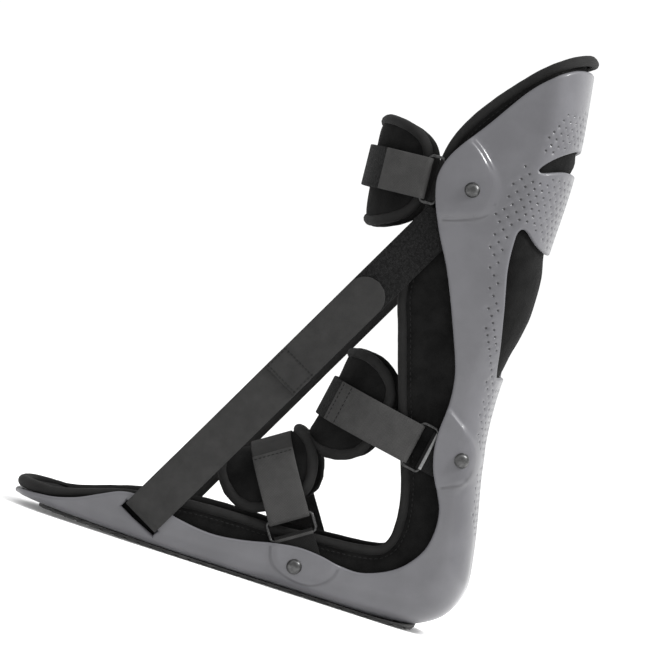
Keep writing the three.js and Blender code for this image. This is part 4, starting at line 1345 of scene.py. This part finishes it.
def linerStitches():
    run = np.array(liner["edge"][2:-2])
    spots = locate(movedRight(smoothRun(run, 2.5), 2 * liner["bindingRadius"] + liner["stitchIn"]))
    lines = []
    for sunk in (liner["stitchSunk"], liner["thick"] - liner["stitchInside"]):
        near = offsetPoints(spots[:, :2], linerOuter(spots) - sunk)
        lines += [near, near * (1, -1, 1)]
    return stitchPiece("liner_edge_stitches", lines, *liner["stitch"], edgeThread)


settle(makeLiner(), ["liner"])
settle(makeLinerBinding(), ["liner_binding"])
settle(linerStitches())
print("liner made")


# cross straps: each runs from the far wall over the front, through its ring and back on itself
tape = {
    "width": 24.5, "thick": 1.2, "clear": 0.3, "mouth": 6, "seamReach": 10.5, "seamPoints": 12,
    "stitch": (2.4, 1.9, 0.6),
    "wire": 1.0, "wireGap": 0.25, "wireShown": 0.85, "ringCorner": 2.4, "ringRoom": 0.6,
    "barShown": 0.8, "loopWrap": 140, "loopNeck": 4.5, "loopJoin": 12,
}
crossStraps = {
    "calf": {
        "fold": (36.6, 256.5), "angle": 184, "depth": 37.9, "lead": 0, "tuck": 2.95, "wall": 57,
        "squareness": 2.5, "overlap": 17.5, "rivet": (65.3, 258.3), "ringLength": 9, "tabLength": 24.6,
        "padLength": 64, "padHeight": 33.4, "padShift": -2, "padTilt": 0.12, "padWaist": 0.08,
        "padLean": 0.06, "padBack": 2.2, "rimOut": 0, "seams": (), "front": loopPile, "bar": darkTape,
    },
    "ankle": {
        "fold": (76.8, 106.7), "angle": 170, "depth": 60.2, "lead": 13, "tuck": 3.1, "wall": 46.3,
        "squareness": 2.2, "overlap": 50, "rivet": (107.2, 105.8), "ringLength": 10.8, "tabLength": 22.5,
        "padLength": 55.5, "padHeight": 34.3, "padShift": -1, "padTilt": 0, "padWaist": 0.14,
        "padLean": 0, "padBack": 0, "rimOut": 2.5, "seams": (2.5, 9.5), "front": loopPile, "bar": brightBar,
    },
    "forefoot": {
        "fold": (21.5, 42.7), "angle": 123.5, "depth": 48.5, "lead": 5, "tuck": 3.1, "wall": 45.9,
        "squareness": 2.2, "overlap": 34, "rivet": (33.5, 16.4), "ringLength": 11.6, "tabLength": 19.5,
        "padLength": 57, "padHeight": 31, "padShift": 5, "padTilt": 0, "padWaist": 0.25,
        "padLean": 0, "padBack": 0, "rimOut": 5, "seams": (2.5,), "front": smoothTape, "bar": webbing,
    },
}
layerRadius = tape["wire"] + tape["wireGap"] + tape["thick"] / 2
layerStep = tape["thick"] + tape["clear"]


def strapAxes(strap):
    angle = math.radians(strap["angle"])
    x, z = strap["fold"]
    forward = np.array([math.cos(angle), 0, math.sin(angle)])
    across = np.array([0.0, 1, 0])
    return np.array([x, 0, z]), np.array([forward, across, np.cross(forward, across)])


def placed(axes, local):
    origin, basis = axes
    return origin + np.asarray(local, float) @ basis


# a wave's values made fuller or flatter, with their signs
def fuller(values, fullness):
    return np.sign(values) * np.abs(values) ** (2 / fullness)


# a strap's way over the front, from the far side to the near one
def frontPath(strap, half, grow, steps):
    angles = np.linspace(0, math.pi, steps + 1)
    rise = np.abs(fuller(np.sin(angles), strap["squareness"]))
    p = strap["lead"] + (strap["depth"] - strap["lead"] + grow) * rise
    y = (half + grow) * fuller(np.cos(angles), strap["squareness"])
    return np.stack([p, y], axis=1)


def strapLine(strap):
    level = strap["wall"] - strap["tuck"]
    half = level - layerRadius
    inPocket = -strap["ringLength"] - strap["tabLength"]
    path = [(inPocket, level), (-tape["mouth"], level), (strap["lead"] / 2 + 1, half + 0.5)]
    path += [tuple(p) for p in frontPath(strap, half, 0, 22)[2:-1]]
    turnSteps = 6
    for k in range(turnSteps + 1):
        angle = math.pi / 2 + math.pi * k / turnSteps
        path.append((layerRadius * math.cos(angle), -level + layerRadius * math.sin(angle)))
    outer = frontPath(strap, half, layerStep, 30)[::-1]
    length = strap["lead"]
    i = 2
    while length < strap["overlap"]:
        path.append(tuple(outer[i]))
        length += np.linalg.norm(outer[i + 1] - outer[i])
        i += 1
    return smoothRun(path, 1.0)


def makeStrap(name, strap):
    axes = strapAxes(strap)
    line = strapLine(strap)
    points, faces, corners, sides = bandParts(line, tape["width"], tape["thick"])
    finishes = [strap["front"], webbing]
    piece = newPiece(name + "_band", placed(axes, points), faces, finishes, corners, sides)
    total = lengthsOf(line)[-1]
    outside = -tape["thick"] / 2 - 0.1
    heights = np.linspace(-tape["seamReach"], tape["seamReach"], tape["seamPoints"])
    rows = [[(total - back, h, outside) for h in heights] for back in strap["seams"]]
    return piece, [placed(axes, onBand(line, row)) for row in rows]


# a loop of tape round the ring's back bar, its two ends running back between the liner and the shell
def makeRingTab(name, strap):
    level = strap["wall"] - strap["tuck"]
    p, y = -strap["ringLength"], -level
    gap = layerStep / 2
    back = [p - strap["tabLength"], p - tape["loopJoin"], p - tape["loopNeck"]]
    path = [(spot, y + gap) for spot in back]
    turnSteps, wrap = 8, tape["loopWrap"]
    for k in range(turnSteps + 1):
        angle = math.radians(wrap - 2 * wrap * k / turnSteps)
        path.append((p + layerRadius * math.cos(angle), y + layerRadius * math.sin(angle)))
    path += [(spot, y - gap) for spot in back[::-1]]
    points, faces, corners = bandParts(smoothRun(path, 0.7), tape["width"] - 1, tape["thick"])[:3]
    middles = np.array([np.mean([points[v] for v in face], axis=0) for face in faces])
    onBar = (middles[:, 1] < y - layerRadius) & (np.abs(middles[:, 0] - p) < tape["barShown"])
    points = placed(strapAxes(strap), points)
    finishes = [darkTape, strap["bar"]]
    return newPiece(name + "_ring_loop", points, faces, finishes, corners, onBar.astype(int))


def ringLine(strap):
    reach = tape["width"] / 2 + tape["ringRoom"] + tape["wire"]
    corner = tape["ringCorner"]
    back = -strap["ringLength"]
    level = strap["wall"] - strap["tuck"]
    points = []
    for p, h, turn in ((0, -reach, 0), (0, reach, 1), (back, reach, 2), (back, -reach, 3)):
        middleP = p - corner * (1 if p == 0 else -1)
        middleH = h - corner * math.copysign(1, h)
        for part in np.linspace(0, 1, 7):
            angle = -math.pi / 2 + (turn + part) * math.pi / 2
            points.append((middleP + corner * math.cos(angle), -level, middleH + corner * math.sin(angle)))
    return placed(strapAxes(strap), points)


# pads: crowned cushions bent round the inside of their strap, swollen by a cloth simulation
pad = {
    "thick": 8.0, "bindingRadius": 3.2, "bindingIn": 1.0, "fullness": 3.4, "waistReach": 20.0,
    "spokes": 72, "edgeShare": 0.4, "crown": 0.36,
    # share of the plan and share of the crown, from the edge inwards
    "rings": [(1.0, 0.42), (0.985, 0.52), (0.95, 0.64), (0.88, 0.8), (0.75, 0.94), (0.55, 1.0), (0.3, 1.0)],
    "voxel": 3.0, "rimSteps": 240, "rimHold": 5.5, "pressure": 4.0, "frames": 20, "mostMove": 6.0,
    "strapRoom": 0.1, "bulgeBeside": 4.2, "bulgeReach": (-1, 7), "inside": 1.0,
}
padDrop = tape["thick"] / 2 + tape["clear"] + pad["thick"] / 2


def padLine(strap):
    half = strap["wall"] - strap["tuck"] - layerRadius
    return evenRun(frontPath(strap, half, -padDrop - strap["padBack"], 120), 0.8)


def padPoints(strap, spots):
    line = padLine(strap)
    spots = np.asarray(spots, float)
    local = onBand(line, spots + (lengthsOf(line)[-1] / 2, strap["padShift"], 0))
    local[:, 0] -= strap["padLean"] * local[:, 2]
    local[:, 2] += strap["padTilt"] * local[:, 0]
    return local


def padRim(strap, angle, setIn):
    along = fuller(np.cos(angle), pad["fullness"]) * (strap["padLength"] - setIn)
    high = fuller(np.sin(angle), pad["fullness"]) * (strap["padHeight"] - setIn)
    pinch = 1 - strap["padWaist"] * np.exp(-(along / pad["waistReach"]) ** 2)
    return along, high * pinch


# how far the pad stands out beside the strap at its front
def standOut(strap, along, scale):
    return strap["rimOut"] * scale ** 3 * np.exp(-(along / pad["waistReach"]) ** 2)


# points on the edge of a pad
def rimPoints(strap, setIn, steps):
    along, high = padRim(strap, roundAngles(steps), setIn)
    local = padPoints(strap, np.stack([along, high, standOut(strap, along, 1.0)], axis=1))
    return placed(strapAxes(strap), local)


# cloth with pressure inside and its rim held, then no point moved further than the limit
def inflate(piece, pinned):
    start = np.array([v.co for v in piece.data.vertices])
    group = piece.vertex_groups.new(name="rim")
    group.add([int(i) for i in np.nonzero(pinned)[0]], 1.0, "REPLACE")
    cloth = piece.modifiers.new("cloth", "CLOTH")
    cloth.settings.use_pressure = True
    cloth.settings.uniform_pressure_force = pad["pressure"]
    cloth.settings.vertex_group_mass = "rim"
    cloth.settings.effector_weights.gravity = 0
    cloth.settings.quality = 5
    cloth.settings.mass = 0.25
    cloth.settings.tension_stiffness = 8
    cloth.settings.compression_stiffness = 8
    cloth.settings.bending_stiffness = 0.3
    for number in range(1, pad["frames"] + 1):
        scene.frame_set(number)
    moved = np.array([v.co for v in finalMesh(piece).vertices]) - start
    piece.modifiers.clear()
    scene.frame_set(1)
    size = np.linalg.norm(moved, axis=1, keepdims=True)
    limit = pad["mostMove"] * mm
    return start + moved * np.minimum(1, limit / np.maximum(size, 1e-9))


# pressed flat under the strap, free to bulge beside it
def pressed(strap, local):
    line = padLine(strap)
    lineTree = nearTree([Vector((p, y, 0)) for p, y in line])
    heading = unit(np.gradient(line, axis=0))
    inner, outer = [tape["width"] / 2 + reach for reach in pad["bulgeReach"]]
    least = -pad["thick"] / 2 - pad["inside"]
    for i, (p, y, h) in enumerate(local):
        k = lineTree.find((p, y, 0))[1]
        normal = np.array([-heading[k, 1], heading[k, 0]])
        out = (p - line[k, 0]) * normal[0] + (y - line[k, 1]) * normal[1]
        beside = float(smoothStep(abs(h), inner, outer))
        most = pad["thick"] / 2 - pad["strapRoom"] + strap["padBack"]
        most += (pad["bulgeBeside"] + strap["rimOut"]) * beside
        shift = min(max(out, least), most) - out
        local[i, 0] += normal[0] * shift
        local[i, 1] += normal[1] * shift
    return local


# two crowned faces, joined round the edge
def padStart(strap, setIn):
    rings, spokes = pad["rings"], pad["spokes"]
    along, high = padRim(strap, roundAngles(spokes), setIn)
    spots, faces = [], []
    for side in (1, -1):
        for scale, swell in rings:
            out = side * swell * pad["thick"] * pad["crown"] + standOut(strap, along, scale)
            spots.extend(zip(along * scale, high * scale, out))
        spots.append((0, 0, side * pad["thick"] * pad["crown"]))
    count = len(rings) * spokes + 1
    spoke = np.arange(spokes)
    for base in (0, count):
        for k in range(len(rings) - 1):
            faces += loopFaces(base + k * spokes + spoke, base + (k + 1) * spokes + spoke)
        inner = base + (len(rings) - 1) * spokes
        faces += [[inner + i, inner + (i + 1) % spokes, base + count - 1] for i in range(spokes)]
    return spots, faces + loopFaces(spoke, count + spoke)


def makePad(name, strap):
    axes = strapAxes(strap)
    setIn = pad["bindingRadius"] * pad["edgeShare"]
    spots, faces = padStart(strap, setIn)
    piece = newPiece(name + "_cushion", placed(axes, padPoints(strap, spots)), faces, [padCloth])
    tidyMesh(piece)
    remesh = piece.modifiers.new("remesh", "REMESH")
    remesh.mode = "VOXEL"
    remesh.voxel_size = pad["voxel"] * mm
    even = finalMesh(piece)
    piece.modifiers.clear()
    piece.data = even
    here = np.array([v.co for v in even.vertices]) / mm
    rimTree = nearTree(rimPoints(strap, setIn, pad["rimSteps"]))
    here = inflate(piece, gapsTo(rimTree, here) < pad["rimHold"]) / mm
    origin, basis = axes
    local = pressed(strap, (here - origin) @ basis.T)
    even.vertices.foreach_set("co", (placed(axes, local) * mm).ravel())
    even.materials.clear()
    even.materials.append(padCloth)
    finer = piece.modifiers.new("finer", "SUBSURF")
    finer.levels = finer.render_levels = 1
    final = finalMesh(piece)
    piece.modifiers.clear()
    piece.vertex_groups.clear()
    piece.data = final
    final.polygons.foreach_set("use_smooth", [True] * len(final.polygons))
    return piece


def makePadBinding(name, strap):
    rim = rimPoints(strap, pad["bindingRadius"] - pad["bindingIn"], 160)
    line = evenRun(rim, 1.6, closed=True)
    folds = 0.14 + 0.06 * strap["rimOut"]
    radii = pad["bindingRadius"] + folds * ripple(line, 13, 3)
    points, faces, corners = tubeParts(line, radii, 12)
    return newPiece(name + "_cushion_roll", points, faces, [bindingTape], corners)


strapRows = []
for name, strap in crossStraps.items():
    band, rows = makeStrap(name, strap)
    settle(band, [name + "_strap"])
    settle(makeRingTab(name, strap), [name + "_ring_tab"])
    settle(makePad(name, strap), [name + "_pad"])
    settle(makePadBinding(name, strap), [name + "_pad_binding"])
    strapRows += rows
    wire = linePiece(name + "_ring_wire", [ringLine(strap)], closed=True)
    runTree(wire, wireTree, {"Wire Radius": tape["wireShown"] * mm, "Wire": ringWire})
    settle(wire, [name + "_ring"])
settle(stitchPiece("strap_stitches", strapRows, *tape["stitch"], seamThread))
print("cross straps, rings and cushions made")


# rivets: domed heads on the raised fields
rivet = {"radius": 4.3, "height": 2.6, "sides": 32}


def rivetHead():
    r, h, sides = rivet["radius"], rivet["height"], rivet["sides"]
    profile = [
        (0.9 * r, -1.6), (1.04 * r, -0.2), (1.06 * r, 0.15), (r, 0.42), (0.97 * r, 0.7),
        (0.86 * r, 0.62 * h), (0.66 * r, 0.84 * h), (0.4 * r, 0.96 * h), (0.15 * r, h),
    ]
    ring = np.arange(sides)
    points, faces = [], []
    for radius, z in profile:
        for angle in 2 * math.pi * ring / sides:
            points.append((radius * math.cos(angle), radius * math.sin(angle), z))
    for i in range(len(profile) - 1):
        faces += loopFaces(i * sides + ring, (i + 1) * sides + ring)
    faces += [((len(profile) - 1) * sides + ring).tolist(), ring[::-1].tolist()]
    return newPiece("rivet_head", points, faces, [rivetMetal])


def makeRivets():
    places, facings = [], []
    for strap in crossStraps.values():
        spots = locate([strap["rivet"]])[:, :2]
        for side in (1, -1):
            turned = spots * (1, side)
            places.append(offsetPoints(turned, shell["raisedHeight"])[0])
            facings.append(faceNormals(turned[:, 0], turned[:, 1])[0])
    return studPiece("rivets", studTree, places, facings, rivetHead(), rivetMetal)


rivetNodes = [name + "_rivet_" + side for name in crossStraps for side in ("near", "far")]
settle(makeRivets(), rivetNodes)
print("rivets set")


# tension straps from the cuff through the toe slots and back up, with sewn hook tabs
tension = {
    "tuckedEnd": 8, "inset": 4.7, "standOff": 1.3, "foldStart": -0.1, "foldSteps": 8, "closesFrom": 26,
    "closesAt": 40, "joinsAt": 62, "folded": 128, "tab": 68, "tabNarrower": 0.4, "tabThick": 0.9,
    "seamReach": 10.8, "seams": (1.8, 16), "stitch": (2.4, 1.8, 0.55),
    # past the folded end, layers off the strap below, and a little more or less
    "tongue": [(-14, 2, -0.4), (-4, 2, -0.5), (6, 1, 0.3), (20, 1, 0)],
}


def tensionAxes():
    low, high = shell["slot"]["low"], shell["slot"]["high"]
    halves = onFace(locate([low, high]))[:, 1]
    start = np.array([low[0], tension["inset"] - halves[0], low[1]])
    end = np.array([high[0], tension["inset"] - halves[1], high[1]])
    along = unit(end - start)
    flat = unit(np.array([high[0] - low[0], high[1] - low[1]]))
    widthwise = np.array([flat[1], 0, -flat[0]])
    return (start, np.array([along, np.cross(widthwise, along), widthwise])), np.linalg.norm(end - start)


def tensionLine(length):
    turn = (tension["inset"] + tension["standOff"]) / 2
    middle = tension["foldStart"] + turn
    path = [(length + tension["tuckedEnd"], 0), (length / 2, 0), (middle + 8, 0), (middle, 0)]
    for k in range(1, tension["foldSteps"] + 1):
        angle = -math.pi / 2 - math.pi * k / tension["foldSteps"]
        path.append((middle + turn * math.cos(angle), turn + turn * math.sin(angle)))
    rise = 2 * turn
    halfClosed = layerStep + (rise - layerStep) * 0.55
    path += [(tension["closesFrom"] * 0.5, rise), (tension["closesFrom"], rise * 0.97)]
    path += [(tension["closesAt"], halfClosed), (tension["joinsAt"], layerStep + 0.2)]
    path += [(tension["folded"] * 0.75, layerStep), (tension["folded"], layerStep)]
    return smoothRun(path, 1.2)


# the tab starts on top of the folded end, steps down past it and lies on the strap below
def tongueLine():
    end = tension["folded"]
    path = [(end + past, layers * layerStep + more) for past, layers, more in tension["tongue"]]
    return smoothRun(path + [(end + tension["tab"], layerStep)], 1.0)


# stitches in a box where the tab is sewn on
def tongueRows(line, outside):
    reach = tension["seamReach"]
    first, last = tension["seams"]
    rows = [[(a, h, outside) for h in np.linspace(-reach, reach, 12)] for a in (first, last)]
    rows += [[(a, h, outside) for a in np.linspace(first, last, 8)] for h in (-reach, reach)]
    return [onBand(line, row) for row in rows]


def makeTension():
    axes, length = tensionAxes()
    strapParts = bandParts(tensionLine(length), tape["width"], tape["thick"])
    tabLine = tongueLine()
    left = lengthsOf(tabLine)[-1] - lengthsOf(tabLine)
    roundEnd = np.clip(1 - left / (tape["width"] / 2), 0, 1)
    share = np.sqrt(np.clip(1 - roundEnd ** 2, 0.0004, 1))
    thick = tape["thick"] * tension["tabThick"]
    tabParts = bandParts(tabLine, tape["width"] - tension["tabNarrower"], thick, share)
    rows = tongueRows(tabLine, thick / 2 + 0.12)
    pieces, stitches = [], []
    for side, mirror in (("near", 1), ("far", -1)):
        flip = np.array([1, mirror, 1])
        for label, parts, finishes in (("band", strapParts, [smoothTape, loopPile]),
                                       ("tongue", tabParts, [hookTab, loopPile])):
            points = placed(axes, parts[0]) * flip
            piece = newPiece("tension_" + side + "_" + label, points, parts[1], finishes, parts[2], parts[3])
            tidyMesh(piece, 0.0001)
            pieces.append((piece, side, label))
        stitches += [placed(axes, row) * flip for row in rows]
    return pieces, stitches


tensionPieces, tensionRows = makeTension()
for piece, side, label in tensionPieces:
    if label == "band":
        settle(piece, ["tension_strap_" + side])
    else:
        settle(piece, ["tension_tab_" + side])
settle(stitchPiece("tension_stitches", tensionRows, *tension["stitch"], seamThread))
print("tension straps made")


# outsole: a thin plate that follows the shell, with tread blocks under it
outsole = {
    "plan": [
        (109.5, 8), (109, 20), (106.5, 27), (98, 29.5), (80, 30), (40, 33), (0, 38.5), (-45, 43), (-80, 43.4),
        (-105, 42), (-117, 39.5), (-121, 34), (-122.5, 20), (-123, 6),
    ],
    "gap": 2.0, "gridFrom": (-122, -42), "gridTo": (106, 43), "gridGap": 6.0, "gridRoom": 3,
    "toeEnd": -124, "flatFrom": -20, "flatTo": 92, "heelEnd": 107, "toeSpring": 3.0, "heelSpring": 1.2,
    "thick": 3.0, "least": 0.8, "edgeRound": 0.5, "edgeLevels": (0.85, 0.5, 0.15),
    "blockHeight": 1.1, "blockLength": 6.2, "blockWidth": 2.6, "blockCorner": 0.45, "blockGap": 6.6,
    "blocksFrom": -119, "blocksTo": 104, "blockColumns": 7, "blockTurn": 0.55, "blockRoom": 3.6,
    "ringIn": 1.7, "ringGap": 1.6,
}


def soleLevels(x):
    toe = np.maximum(outsole["flatFrom"] - x, 0) / (outsole["flatFrom"] - outsole["toeEnd"])
    heel = np.maximum(x - outsole["flatTo"], 0) / (outsole["heelEnd"] - outsole["flatTo"])
    lift = outsole["toeSpring"] * toe ** 2 + outsole["heelSpring"] * heel ** 2
    under = np.interp(x, spineValues[solePart, 0], spineValues[solePart, 1]) - tape["clear"]
    return lift, np.clip(under, lift + outsole["least"], lift + outsole["thick"])


def drawnIn(outline, distance):
    return outline + unit(outline.mean(axis=0) - outline) * distance


def makeOutsole():
    half = smoothRun(outsole["plan"], outsole["gap"])
    outline = np.vstack([half, (half * (1, -1))[::-1]])
    outline = evenRun(outline, outsole["gap"], closed=True)
    limits = zip(outsole["gridFrom"], outsole["gridTo"])
    xs, ys = [np.arange(low, high, outsole["gridGap"]) for low, high in limits]
    inside = np.stack([values.ravel() for values in np.meshgrid(xs, ys)], axis=1)
    inside = inside[depthInside(inside, outline)[0] > outsole["gridRoom"]]
    flat = np.vstack([drawnIn(outline, outsole["edgeRound"]), inside])
    total, count = len(flat), len(outline)
    triangles = triangulated(flat, [(i, (i + 1) % count) for i in range(count)], 1).tolist()
    lift, top = soleLevels(flat[:, 0])
    low = np.minimum(lift + outsole["blockHeight"] - 0.1, top - 0.6)
    points = [np.column_stack([flat, top]), np.column_stack([flat, low])]
    faces = triangles + [[total + v for v in face[::-1]] for face in triangles]
    ring = np.arange(count)
    loops = [ring]
    for k, share in enumerate(outsole["edgeLevels"]):
        points.append(np.column_stack([outline, low[:count] + (top - low)[:count] * share]))
        loops.append(2 * total + k * count + ring)
    loops.append(total + ring)
    for upper, lower in zip(loops[:-1], loops[1:]):
        faces += loopFaces(upper, lower)
    piece = newPiece("outsole_plate", np.vstack(points), faces, [outsoleRubber])
    tidyMesh(piece)
    return piece, outline


# one tapered tread block, lying along X, its foot on the ground
def treadBlock():
    length, width, height = outsole["blockLength"] / 2, outsole["blockWidth"] / 2, outsole["blockHeight"]
    levels = [(0.93, 0.82, 0.0), (1.0, 0.96, 0.18), (1.06, 1.12, height + 0.3)]
    corner = outsole["blockCorner"]
    points = []
    for long, wide, z in levels:
        for sx, sy in ((1, 1), (-1, 1), (-1, -1), (1, -1)):
            order = ((0, corner), (corner, 0)) if sx * sy > 0 else ((corner, 0), (0, corner))
            for cx, cy in order:
                points.append((sx * (length * long - cx), sy * (width * wide - cy), z))
    sides = 8
    ring = np.arange(sides)
    faces = [ring[::-1].tolist(), (2 * sides + ring).tolist()]
    for i in range(len(levels) - 1):
        faces += loopFaces(i * sides + ring, (i + 1) * sides + ring)
    piece = newPiece("tread_block", points, faces, [outsoleRubber])
    tidyMesh(piece, 0.0001)
    return piece


# staggered rows of turned blocks, and a ring of them along the edge
def makeTread(outline):
    places, facings = [], []
    gap, most, turn = outsole["blockGap"], outsole["blockColumns"], outsole["blockTurn"]
    for row, x in enumerate(np.arange(outsole["blocksFrom"], outsole["blocksTo"], gap * 0.75)):
        for column in range(-most, most + 1):
            places.append((x, (column + 0.5 * (row % 2)) * gap))
            facings.append((1, turn if column % 2 else -turn, 0))
    places, facings = np.array(places), np.array(facings)
    keep = depthInside(places, outline)[0] > outsole["blockRoom"]
    pitch = outsole["blockLength"] + outsole["ringGap"]
    ring = evenRun(drawnIn(outline, outsole["ringIn"]), pitch, closed=True)
    heading = unit(np.roll(ring, -1, 0) - np.roll(ring, 1, 0))
    places = np.vstack([places[keep], ring])
    facings = np.vstack([facings[keep], np.column_stack([heading, np.zeros(len(ring))])])
    points = np.column_stack([places, soleLevels(places[:, 0])[0]])
    return studPiece("outsole_tread", treadTree, points, facings, treadBlock(), outsoleRubber)


plate, soleOutline = makeOutsole()
settle(plate, ["outsole"])
settle(makeTread(soleOutline))
print("outsole made")


# studio: pale floor, white surround, soft lights and the camera
studio = {"azimuth": 3.5, "elevation": 1.0, "roll": 18.0, "distance": 4000, "aim": (8.0, -50.0, 156.3),
          "frameWidth": 381.4, "sensor": 36, "surround": 1.06, "floorGlow": 0.12}


def makeFloor():
    finish, shader, spot = newFinish("floorPaint")
    tone = spot.noise(6, 3, 0.5)
    setShader(spot, shader, {
        "Base Color": tone.ramp(0.3, 0.7).between(grey(0.955), grey(0.965)),
        "Roughness": 0.9,
        "Emission Color": (1, 1, 1, 1),
        "Emission Strength": studio["floorGlow"],  # the floor glows as painted light, lifting the contact shadow and lighting the piece from below
    })
    side = 6000.0
    points = [(-side, -side, 0), (side, -side, 0), (side, side, 0), (-side, side, 0)]
    floor = newPiece("floor", points, [[0, 1, 2, 3]], [finish])


def makeSurround():
    world = bpy.data.worlds.new("surround")
    scene.world = world
    world.use_nodes = True
    back = world.node_tree.nodes["Background"]
    back.inputs["Color"].default_value = (1, 1, 1, 1)
    back.inputs["Strength"].default_value = studio["surround"]


def addLight(name, place, aim, size, power):
    lamp = bpy.data.lights.new(name, "AREA")
    lamp.shape = "RECTANGLE"
    lamp.size, lamp.size_y = size
    lamp.energy = power
    holder = bpy.data.objects.new(name, lamp)
    scene.collection.objects.link(holder)
    holder.location = place
    holder.rotation_euler = (Vector(aim) - Vector(place)).to_track_quat("-Z", "Y").to_euler()


def makeCamera():
    turn, rise, roll = [math.radians(studio[key]) for key in ("azimuth", "elevation", "roll")]
    back = Vector((math.sin(turn) * math.cos(rise), -math.cos(turn) * math.cos(rise), math.sin(rise)))
    flatRight = Vector((math.cos(turn), math.sin(turn), 0))
    flatUp = back.cross(flatRight)
    right = flatRight * math.cos(roll) + flatUp * math.sin(roll)
    up = flatUp * math.cos(roll) - flatRight * math.sin(roll)
    place = Vector(studio["aim"]) * mm + back * studio["distance"] * mm
    data = bpy.data.cameras.new("camera")
    data.sensor_width = studio["sensor"]
    data.lens = studio["sensor"] * studio["distance"] / studio["frameWidth"]
    data.clip_end = 100
    camera = bpy.data.objects.new("camera", data)
    scene.collection.objects.link(camera)
    camera.matrix_world = Matrix((
        (right.x, up.x, back.x, place.x),
        (right.y, up.y, back.y, place.y),
        (right.z, up.z, back.z, place.z),
        (0, 0, 0, 1),
    ))
    scene.camera = camera


makeFloor()
makeSurround()
addLight("keyLight", place=(0.75, -0.27, 0.95), aim=(0.08, 0, 0.27), size=(0.22, 0.32), power=15)
addLight("topLight", place=(0.2, -0.9, 2.0), aim=(0, 0, 0.15), size=(1.2, 0.8), power=8)
makeCamera()
scene.view_settings.view_transform = "Standard"
